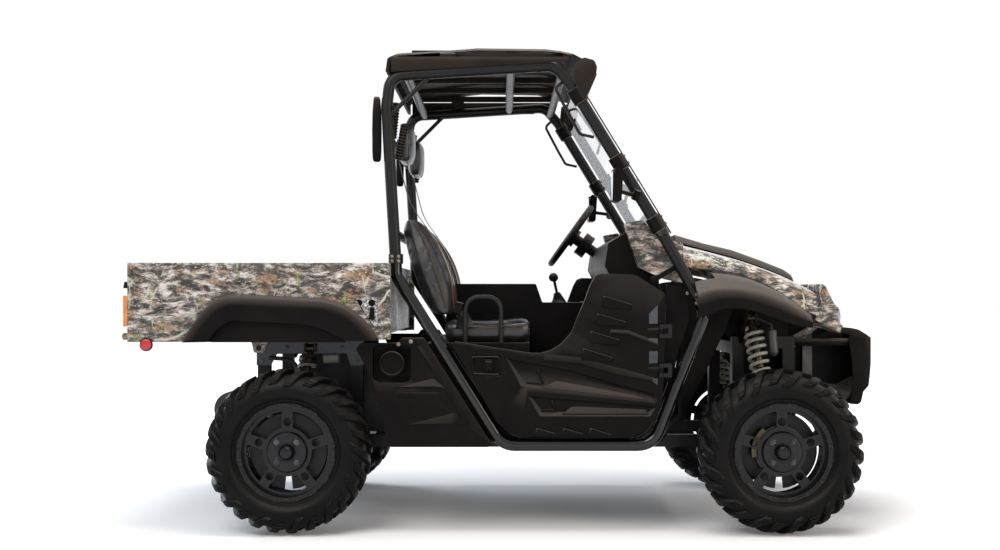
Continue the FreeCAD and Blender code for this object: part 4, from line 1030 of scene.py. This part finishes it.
def liners():
    """Inner walls of the front wheel wells."""
    walls = (  # the wall's distances from the middle, then its outline
        (462, 466, [(1497, 420), (1540, 640), (1575, 955), (1700, 978), (1800, 955), (1745, 800), (1664, 624),
                    (1592, 486), (1577, 420)]),
        (268, 272, [(1700, 978), (2000, 880), (2040, 830), (2040, 600), (1985, 560), (1880, 620), (1850, 700),
                    (1745, 800)]),
        (200, 203, [(2040, 800), (2180, 800), (2300, 760), (2335, 700), (2335, 590), (2250, 550), (2040, 600)]))
    parts = []
    for side in (-1, 1):
        parts += [side_plate(outline, side * y0, side * y1, 14) for y0, y1, outline in walls]
        parts += [oblong((x, x - 860), (x + 30, 80 + 0.5 * x), 9, side * 464, side * 471) for x in (1560, 1610, 1660)]
    finished(joined(parts), "wheel_well_liners", edge=1.2)


def rear_panels():
    """The panels with their ledges, bars and filler ring, and the fuel caps."""
    ledges = (([(404, 571), (560, 610), (614, 571)], [(408, 571), (556, 576), (612, 571)]),
              ([(434, 425), (638, 476), (716, 425)], [(440, 425), (636, 431), (712, 425)]))
    bars = ((654, 4, [(500, 733), (521, 733), (717, 425), (697, 425)]),
            (652, 3, [(430, 552), (588, 552), (612, 530), (424, 530)]))
    ring = [(-2, 50), (2, 50), (5, 46), (5, 43), (-2, 41), (-2, 50)]
    parts = [copied("rear_side_panels")]
    for side in (-1, 1):
        parts += [ledge(side, (foot, 649), (crest, 655)) for foot, crest in ledges]
        parts += [side_plate(bar, *sorted((side * y, side * 649)), radius) for y, radius, bar in bars]
        parts.append(raw(*turned(ring, (404, side * 650, 663), (0, side, 0), 40)))
    finished(joined(parts), "gusseted_rear_panels", node="rear_side_panels")
    cap = [(0, 38), (22, 38), (25, 36), (26, 30), (24, 28), (24, 6)]
    caps = both_sides(lambda s: [turned(cap, (404, s * 595.3, 671), (0, s, 0), 40),
                                 box(376, 432, s * 618, s * 626, 663, 679, 2)])
    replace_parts(caps.piece("ribbed_fuel_caps"), "fuel_cap")


def doors():
    """The doors' outer skins with sunken fields, raised vents and ribs, and a latch box."""
    fields = (  # each outline at the door's skin, then at the field's floor
        ([(851, 686), (1112, 637), (1283, 585), (1437, 545), (1441, 530), (1433, 516), (909, 575)],
         [(868, 675), (1112, 629), (1283, 577), (1422, 540), (1425, 534), (1418, 531), (920, 594)]),
        ([(937, 538), (984, 457), (1416, 457), (1437, 490), (1430, 498)],
         [(955, 528), (995, 474), (1409, 472), (1424, 488), (1418, 491)]),
        ([(730, 618), (829, 614), (829, 697), (720, 697)], [(734, 623), (824, 619), (824, 693), (725, 693)]))
    vents_and_slots = (
        [(1231, 930), (1345, 896), (1342, 876), (1226, 884)], [(1207, 861), (1321, 828), (1319, 807), (1200, 817)],
        [(1181, 792), (1297, 757), (1295, 736), (1173, 747)], [(1153, 724), (1271, 688), (1267, 671), (1145, 678)],
        [(970, 412), (1051, 389), (1042, 381), (962, 384)], [(1076, 412), (1155, 389), (1147, 381), (1068, 384)],
        [(1181, 412), (1266, 386), (1258, 379), (1172, 384)])
    slopes = (  # the distances out of foot and crest, then their outlines
        (637, 649.5, [(989, 567), (1052, 596), (1345, 543), (1412, 519)],
         [(990, 567), (996, 570), (1400, 525), (1412, 519)]),
        (637, 649.5, [(1070, 465), (1112, 497), (1395, 485), (1410, 465)],
         [(1072, 465), (1076, 469), (1404, 469), (1410, 465)]),
        (649, 655, [(1256, 784), (1262, 800), (1330, 797), (1442, 752), (1442, 736), (1324, 778)],
         [(1258, 784), (1262, 787), (1328, 783), (1440, 740), (1442, 736), (1324, 778)]),
        (649, 655,
         [(996, 676), (1000, 706), (1146, 692), (1290, 652), (1438, 608), (1438, 592), (1284, 620), (1140, 662)],
         [(998, 676), (1002, 680), (1142, 666), (1286, 624), (1437, 596), (1438, 592), (1284, 620), (1140, 662)]))
    ridges = (((975, 640), (998, 583)), ((998, 583), (930, 590)), ((1031, 517), (1044, 481)),
              ((1044, 481), (988, 480)))
    for word, side in SIDES:
        door = "door_" + word
        parts = [cut(copied(door), [ledge(side, (floor, 638), (rim, 650.5), (rim, 656)) for rim, floor in fields]),
                 side_plate([(766, 634), (800, 634), (800, 680), (766, 680)], side * 637, side * 650, 4)]
        parts += [raw(*prism(rounded(outline, 7, 3), side * 648, side * 656, 4.5)) for outline in vents_and_slots]
        parts += [ledge(side, (foot, y0), (crest, y1)) for y0, y1, foot, crest in slopes]
        parts += [oblong(start, end, 8, side * 637, side * 645) for start, end in ridges]
        finished(joined(parts), "moulded_" + door, body=door, node=door, edge=1.6)


def bed():
    """The cargo box with floor grooves and the recess beside each front corner, and its side reflectors."""
    recess = [(262, 928), (356, 928), (356, 800), (340, 806), (300, 862)]
    cuts = []
    for side in (-1, 1):
        cuts.append(side_plate(recess, *sorted((side * 705, side * 688)), 6))
        for y in (70, 155, 240, 325, 410):
            cuts.append(block(-560, 325, side * y - 15, side * y + 15, 788, 798))
    finished(cut(copied("bed_box"), cuts), "camouflaged_bed", "camo_panel", "bed", node="bed_box")
    for name, look, slot, profile in (
            ("reflector_backs", "black_plastic", "black_plastic", [(0, 25), (8, 25), (9, 23)]),
            ("round_side_reflectors", "red_lens", "amber_lens", [(8, 22), (12, 21), (14, 17), (14.6, 4)])):
        both_sides(lambda s: [turned(profile, (-542, s * 700.2, 739.5), (0, s, 0), 36)]).piece(
            name, look, "bed", slot)


# Seats and belts

CLOTH_FRAMES = 15
CLOTH_PRESSURE = 4.0
CLOTH_VOXEL = 9.0


def simulated(thing, cap_mm):
    """Swells a closed piece with a cloth simulation, with no point moved further than cap_mm."""
    remesh = thing.modifiers.new("remesh", "REMESH")
    remesh.mode = "VOXEL"
    remesh.voxel_size = CLOTH_VOXEL * MM
    applied(thing)
    rest = [v.co.copy() for v in thing.data.vertices]
    cloth = thing.modifiers.new("cloth", "CLOTH")
    cloth.settings.use_pressure = True
    cloth.settings.uniform_pressure_force = CLOTH_PRESSURE
    cloth.settings.effector_weights.gravity = 0.0
    cloth.settings.quality = 4
    for number in range(1, CLOTH_FRAMES + 1):
        bpy.context.scene.frame_set(number)
    applied(thing)
    bpy.context.scene.frame_set(1)
    limit = cap_mm * MM
    for vertex, before in zip(thing.data.vertices, rest):
        move = vertex.co - before
        if move.length > limit:
            vertex.co = before + move * (limit / move.length)
    coated(thing.data, "seat_vinyl")


def pad(name, rows, node, cap):
    """A stuffed vinyl piece from closed loops of points, swollen and smoothed."""
    thing = Mesh(capped(rows)).piece(name, "seat_vinyl", smooth=180.0)
    simulated(thing, cap)
    smooth = thing.modifiers.new("smooth", "SUBSURF")
    smooth.levels = 1
    smooth.render_levels = 1
    if node:
        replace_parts(thing, node)


def superellipse(power, count=32):
    """Points of a rounded square of half-width 1 about the origin."""
    points = []
    for i in range(count):
        angle = 2 * math.pi * i / count
        c, s = math.cos(angle), math.sin(angle)
        points.append((math.copysign(abs(c) ** (2 / power), c), math.copysign(abs(s) ** (2 / power), s)))
    return points


SEAT_MIDDLE_Y = 343.0
SEAT_HALF_WIDTH = 211.0
CUSHION_REAR_X = 604
CUSHION_FRONT_X = 952
CUSHION_BASE_Z = 744
HEADREST_LOW_Z = 1484
HEADREST_HIGH_Z = 1638
# The backrest's rear and front edges by height: (Z, rear X, front X)
BACKREST = [(852, 566, 640), (880, 546, 652), (930, 520, 648), (990, 496, 640), (1050, 474, 622),
            (1110, 458, 596), (1160, 446, 566), (1200, 438, 536), (1226, 438, 508), (1240, 446, 486)]


def backrest_half(z):
    share = (z - BACKREST[0][0]) / (BACKREST[-1][0] - BACKREST[0][0])
    return SEAT_HALF_WIDTH * (0.93 + 0.07 * math.sin(math.pi * min(1.0, share * 1.2))) - 26 * share ** 3


def seats():
    piping = Mesh()
    for word, side in SIDES:
        middle = side * SEAT_MIDDLE_Y
        first = side < 0
        rows = []
        for z, rear, front in BACKREST:
            loop = []
            for a, b in superellipse(4.2):
                wing = 1.0 if a < 0 else 1.0 - 0.26 * (1 - abs(b) ** 2.2)
                loop.append(((rear + front) / 2 + (front - rear) / 2 * a * wing, middle + backrest_half(z) * b, z))
            rows.append(loop)
        pad("seat_back_" + word, rows, "seat_backs" if first else None, 7.0)
        for edge in (-1, 1):
            line = [(front - 8, middle + edge * (backrest_half(z) - 1), z) for z, rear, front in BACKREST[1:9]]
            piping.add(*tube_mesh(rounded_path(line, 30, 3), 3.4, 8))
            seam = [(0.4 * rear + 0.6 * front, middle + edge * (backrest_half(z) + 2.5), z)
                    for z, rear, front in BACKREST[1:9]]
            piping.add(*tube_mesh(rounded_path(seam, 30, 3), 2.6, 8))
        rows = []
        for i in range(12):
            share = i / 11
            x = CUSHION_REAR_X + (CUSHION_FRONT_X - CUSHION_REAR_X) * share
            swell = 1.0 - 0.10 * abs(2 * share - 1) ** 6
            top = 838 - 12 * math.sin(math.pi * share) + 8 * share ** 2
            loop = []
            for a, b in superellipse(4.5):
                z = (CUSHION_BASE_Z + top) / 2 + (top - CUSHION_BASE_Z) / 2 * a * swell
                if a > 0:
                    z -= 12 * (1 - abs(b) ** 2.5)
                loop.append((x, middle + (SEAT_HALF_WIDTH - 3) * b * swell, z))
            rows.append(loop)
        pad("seat_cushion_" + word, rows, "seat_cushions" if first else None, 7.0)
        for edge in (-1, 1):
            line = [(x, middle + edge * (SEAT_HALF_WIDTH + 1), z) for x, z in ((622, 800), (760, 806), (935, 812))]
            piping.add(*tube_mesh(rounded_path(line, 30, 3), 2.8, 8))
        rows = []
        for i in range(9):
            share = i / 8
            z = HEADREST_LOW_Z + (HEADREST_HIGH_Z - HEADREST_LOW_Z) * share
            swell = 1.0 - 0.16 * abs(2 * share - 1) ** 4
            rows.append([(436 + 31 * a * swell, side * 310 + 116 * b * swell, z) for a, b in superellipse(3.6, 28)])
        pad("headrest_" + word, rows, "headrests" if first else None, 5.0)
    piping.piece("seat_piping", "brown_piping", slot="seat_vinyl")


def belts():
    """Shoulder and lap straps, their buckles and the retractor covers on the rear posts."""
    shoulder = ((401, 455, 1560), (420, 455, 1460), (462, 455, 1300), (528, 455, 1208), (598, 455, 1110),
                (634, 455, 1010), (646, 455, 910), (664, 461, 872))
    lap = ((668, 540, 862), (690, 556, 836), (700, 572, 806))
    straps = both_sides(lambda s: [
        strap_mesh(rounded_path(on_side(s, shoulder), 70, 6), 46, 2.6, (0, 1, 0)),
        strap_mesh(rounded_path(on_side(s, lap), 30, 6), 44, 2.6, (0.9, 0, 0.45))])
    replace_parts(straps.piece("seat_belt_straps", "belt_webbing", smooth=50.0), "seat_belts")
    sizes = ((1461, 0.45), (1464, 0.7), (1472, 0.86), (1500, 0.95), (1590, 1.0), (1660, 0.92), (1706, 0.72),
             (1716, 0.6), (1719, 0.4))
    both_sides(lambda s: [capped([
        [(339 + 19 * size * a, s * 580 + 20 * size * b, z) for a, b in superellipse(3.0, 24)] for z, size in sizes])
    ]).piece("belt_retractor_covers", smooth=50.0)
    both_sides(lambda s: [
        prism([(640, 862), (668, 854), (684, 900), (656, 908)], s * 563, s * 586, 4),
        prism([(652, 800), (664, 797), (674, 856), (660, 860)], s * 568, s * 580, 2)]).piece("belt_buckles")


# Cargo bed


def bed_trim():
    screws = ((-181, 721, 926), (149, 722, 903), (-366, 716, 776), (320, 718, 777))
    both_sides(lambda s: [bolt_head(spot, (0, s, 0), 6, 5) for spot in on_side(s, screws)]).piece(
        "bed_flare_screws", "bolt_steel", "bed", "steel")
    both_sides(lambda s: [turned([(-6, 13), (1, 13), (3, 9), (3.6, 3)], (x, s * 687, 1053), (0, 0, 1), 18)
                          for x in (-575, -459, -296, -129, 111, 355)]).piece("bed_rim_studs", body="bed")
    recess = [(266, 924), (352, 924), (352, 808), (338, 812), (304, 864)]
    both_sides(lambda s: [prism(recess, s * 687, s * 689.5, 1)]).piece(
        "inspection_plates", "mottled_plate", "bed", "steel")
    both_sides(lambda s: [
        *(turned([(0, 13), (1.2, 13), (1.2, 8), (0.4, 8)], (x, s * 689.4, 902), (0, s, 0), 24) for x in (280, 330)),
        prism([(318, 838), (340, 836), (340, 884), (324, 886)], s * 689, s * 697, 2),
        prism([(-634, 959), (-617, 959), (-617, 984), (-630, 984)], s * 668, s * 699, 4),
    ]).piece("bed_clips", body="bed")
    arch = [(-296, 749), (-278, 776), (-262, 797), (-243, 812), (-218, 826), (-190, 832), (-85, 827), (5, 822),
            (62, 818), (104, 811), (150, 797), (190, 778), (220, 763), (232, 749)]
    both_sides(lambda s: [
        tube_mesh([(x, s * 681, 1051) for x in (-609, -300, 395)], 5.5, 10),
        prism(arch, s * FLARE_Y, s * (FLARE_Y + 2), 0.5)]).piece("bed_rim_bead", body="bed")


def under_bed():
    """Small metal parts in the gap between the bed and the rear wheels."""
    plate = [(-186, 640), (-126, 640), (-100, 690), (190, 690), (206, 640), (260, 640), (260, 741), (-186, 741)]
    both_sides(lambda s: [prism(plate, s * 327, s * 331, 1.2)]).piece(
        "rear_tower_plates", "tower_blue_black", slot="frame_black")
    nuts = ((-160, 720), (-60, 715), (60, 715), (170, 715), (236, 700), (236, 660), (-160, 660))
    hose = ((-130, 352, 672), (-60, 352, 668), (-20, 345, 648), (-10, 345, 600))
    both_sides(lambda s: [
        *(hex_nut((x, s * 331, z), (0, s, 0), 8, 7) for x, z in nuts),
        tube_mesh(rounded_path(on_side(s, hose), 30), 9, 10), box(92, 165, s * 327, s * 342, 648, 690),
    ]).piece("rear_tower_fittings", "steel")
    canister = [(0, 14), (3, 17), (60, 17), (63, 14)]
    both_sides(lambda s: [turned(canister, (96, s * 356, 668), (1, 0, 0.05), 24)]).piece(
        "rear_tower_canisters", "shock_grey")


# Cage and screen

PILLAR_LOW = (1468.0, 596.0, 1179.0)
PILLAR_HIGH = (1110.0, 585.0, 1765.0)


def on_pillar(share, side):
    """A point on a windscreen pillar's line at a share of its length from the lower end."""
    x, y, z = (low + (high - low) * share for low, high in zip(PILLAR_LOW, PILLAR_HIGH))
    return Vector((x, side * y, z))


def pillar_fittings():
    """Screen clamps with bright bolts, the pillars' joint sleeves and the cage couplers' bolts."""
    clamps = Mesh()
    bolts = Mesh()
    gloss = Mesh()
    for side in (-1, 1):
        along = (on_pillar(1, side) - on_pillar(0, side)).normalized()
        out = Vector((along.z, 0, -along.x))
        clamps.add(*turned([(-29, 28), (-27, 31), (27, 31), (29, 28)], on_pillar(0.925, side), along, 28))
        for share in (0.06, 0.47, 0.925):
            spot = on_pillar(share, side)
            for step in (-16, 16):
                bolts.add(*bolt_head(spot + along * step + out * 31.5, out, 5.5, 5))
            for turn in (-1, 1):
                edge = spot + along * 30.5 * turn
                bolts.add(*turned([(-0.8, 31.5), (0.8, 31.5)], edge, along, 28))
        for share, reach in ((0.03, 46), (0.955, 30)):
            gloss.add(*turned([(-reach / 2, 24), (-reach / 2 + 3, 26.5), (reach / 2 - 3, 26.5), (reach / 2, 24)],
                              on_pillar(share, side) - along * 12, along, 28))
        for z in (1066, 1084):
            for x in (403, 429):
                bolts.add(*bolt_head((x, side * 628.5, z), (0, side, 0), 5.0, 4))
        for x, z in ((1600, 900), (1622, 900), (1600, 934), (1622, 934)):
            bolts.add(*bolt_head((x, side * 624, z), (0, side, 0), 4.6, 4))
    clamps.piece("upper_screen_clamps")
    bolts.piece("cage_bolts", "bolt_steel", slot="steel")
    gloss.piece("pillar_sleeves", "tube_gloss_black")


def inner_side_tubes():
    """A thin tube inside the sill tube, and the rear post's bellows."""
    line = ((640, 594.5, 712), (866, 594.5, 366), (1410, 594.5, 367), (1492, 594.5, 590))
    both_sides(lambda s: [tube_mesh(rounded_path(on_side(s, line), 80, 8), 8, 12)]).piece(
        "inner_side_tubes", "tube_gloss_black")
    folds = [(k * 6.0 - 72, 17 if k % 2 else 13) for k in range(25)]
    both_sides(lambda s: [turned(folds, (x, s * 520, z), (tilt, 0, 1), 24) for x, z, tilt in (
        (404, 1632, 0.10), (432, 1546, 0.20))]).piece("belt_guide_bellows")


# Panels, doors and front


def panel_screws():
    sloping = ((1683, 568, 1000), (1925, 558, 984), (2112, 568, 900), (2172, 610, 811))
    upright = ((479, 650, 751), (430, 650, 740))
    both_sides(lambda s: [
        *(bolt_head(spot, (0, s * 0.5, 0.87), 6.5, 5) for spot in on_side(s, sloping)),
        *(bolt_head(spot, (0, s, 0), 6, 5) for spot in on_side(s, upright)),
        bolt_head((1570, s * 594, 940), (0, s, 0), 5.5, 4.5)]).piece("panel_screws", "bolt_steel", slot="steel")


def door_trim():
    """Hinge plates on the doors' front edges and the frames round the latches."""
    hinges = (
        [(1411, 820), (1445, 820), (1445, 893), (1411, 859)], [(1408, 763), (1416, 745), (1445, 735), (1445, 763)],
        [(1411, 664), (1445, 667), (1445, 712), (1411, 712)], [(1406, 607), (1445, 580), (1445, 605)])
    latch = ((722, 624), (824, 620), (824, 690), (718, 690), (722, 624))
    for word, side in SIDES:
        door = "door_" + word
        Mesh(*(prism(outline, side * 649, side * 652.5, 1) for outline in hinges),
             *(bolt_head((1431, side * 652, z), (0, side, 0), 4.6, 4) for z in (838, 752, 690, 598))).piece(
            "door_hinge_plates_" + word, "hinge_grey", door, "frame_black")
        Mesh(tube_mesh(rounded_path([(x, side * 650, z) for x, z in latch], 10), 3.5, 8),
             prism([(770, 640), (796, 640), (796, 672), (770, 672)], side * 654, side * 659, 2)).piece(
            "door_latch_frame_" + word, body=door)


def cowl_trim():
    """Rubber hood straps on the cowl and the pegs that hold them."""
    strap = ((1436, 570, 990), (1446, 574, 996), (1520, 574, 1040), (1532, 570, 1048))
    both_sides(lambda s: [strap_mesh(rounded_path(on_side(s, strap), 8), 20, 5, (-0.5, 0, 0.85))]).piece(
        "cowl_straps", "tyre", slot="black_plastic")
    both_sides(lambda s: [
        turned([(0, 15), (4, 16), (9, 15), (10, 10)], (1440, s * 566, 992), (0, s, 0), 20),
        turned([(0, 10), (6, 11), (9, 9)], (1530, s * 566, 1047), (0, s, 0), 20)]).piece("cowl_strap_pegs")


def grille():
    Mesh(*(capped([[(x, y - half, z + 1), (x, y + half, z + 1), (x, y + half, z + 19), (x, y - half, z + 19)]
                   for x, half in ((2370, 2), (2374, 1.5))]) for z in BUMPER_SLOTS for y in range(-180, 181, 24)),
         box(2346, 2350, -214, 214, 566, 696, 1)).piece("bumper_grille_bars")


# Cab


def gear_shift():
    foot = Vector((1085, -40, 900))
    up = Vector((-0.21, 0, 0.977))
    folds = []
    for k in range(9):
        radius = 32 - 2.1 * k
        folds += [(k * 5.0, radius), (k * 5.0 + 2.5, radius - 4)]
    Mesh(turned(folds, foot + up * 2, up, 28)).piece("gear_lever_bellows", "tyre", slot="black_plastic")
    grip = [(-34, 9), (-31, 14), (-12, 18.5), (12, 18.5), (31, 14), (34, 9)]
    Mesh(turned(grip, foot + up * 112, (0.25, 0.97, 0), 24)).piece("gear_lever_grip")


def mirrors():
    both_sides(lambda s: [capped([
        [(x, s * y, z) for x, z in ((1264, 1302 + inset), (1264, 1410 - inset), (1262.6, 1410 - inset),
                                    (1262.6,
                                        1302 + inset))] for y, inset in ((650, 5), (655, 0), (725, 0), (730, 5))])
    ]).piece("mirror_glasses", "mirror_glass", slot="steel")
    rim = ((1263, 646, 1298), (1263, 734, 1298), (1266, 734, 1416), (1266, 646, 1416), (1263, 646, 1298))
    both_sides(lambda s: [tube_mesh(rounded_path(on_side(s, rim), 8), 2.6, 8)]).piece("mirror_rims")


def cab_trim():
    Mesh(*(box(x, x + 2.2, -112, 112, 896, 903.5, 0.8) for x in range(1188, 1221, 4))).piece("console_ribs")


def stage():
    """A pale floor, soft lamps and the camera."""
    bpy.ops.mesh.primitive_plane_add(size=120.0, location=(0, 0, 0))
    floor = bpy.context.object
    floor.name = "floor"
    n = Nodes("pale_floor")
    n.shade(Base_Color=(0.92, 0.92, 0.92, 1.0), Roughness=1.0, Specular_IOR_Level=0.0)
    distance = n.operate("VectorMath", "LENGTH", n.place).outputs["Value"]
    # The glow is dimmed near the middle and reaches white far out: painted shade round and under the vehicle, over
    # the real cast shadow.
    fade = n.spread(distance, *FLOOR_FADE, FLOOR_GLOW, 1.0)
    glow = n.add("Emission", Strength=n.math("MULTIPLY", n.seen(), fade))
    n.end_with("AddShader", "Material Output", n.shader.outputs[0], glow.outputs[0])
    floor.data.materials.append(n.owner)
    sky = Nodes("studio", world=True)
    bpy.context.scene.world = sky.shade(Color=(0.80, 0.86, 0.95, 1.0), Strength=0.32)
    white = sky.add("Background", Color=(1, 1, 1, 1))
    sky.end_with("MixShader", "World Output", sky.seen(), sky.shader.outputs[0], white.outputs[0])
    for name, place, target, size, watts, colour in (
            ("key", (-2.2, -4.2, 4.6), (0.0, 0.0, 0.7), 3.4, 150.0, (1.0, 0.97, 0.94)),
            ("top", (0.2, -0.4, 5.2), (0.0, 0.0, 0.6), 4.2, 255.0, (1.0, 0.97, 0.94)),
            ("rim", (-3.8, 3.6, 3.0), (0.0, 0.0, 0.9), 2.6, 150.0, (0.80, 0.89, 1.0)),
            ("warm", (4.4, -3.6, 1.9), (0.4, 0.0, 0.6), 2.2, 70.0, (1.0, 0.84, 0.70))):
        data = bpy.data.lights.new(name, "AREA")
        data.shape = "DISK"
        data.size = size
        data.energy = watts
        data.color = colour
        lamp = linked(name, data)
        lamp.location = place
        lamp.rotation_euler = (Vector(target) - Vector(place)).to_track_quat("-Z", "Y").to_euler()
    data = bpy.data.cameras.new("camera")
    data.lens = 46.38
    data.sensor_width = 36.0
    data.shift_x = -0.0021
    data.shift_y = 0.0204
    camera = linked("camera", data)
    camera.location = (-0.038, -5.693, 0.9309)
    camera.rotation_euler = (math.radians(90), 0, 0)
    bpy.context.scene.camera = camera
    bpy.context.scene.view_settings.view_transform = "Standard"


for build in (
    stage, dress_nodes, wheels, springs, fenders, flares, hood, roof, nose, liners, rear_panels, doors, bed, seats,
    belts, bed_trim, under_bed, pillar_fittings, inner_side_tubes, panel_screws, door_trim, cowl_trim, grille,
    gear_shift, mirrors, cab_trim,
):
    build()
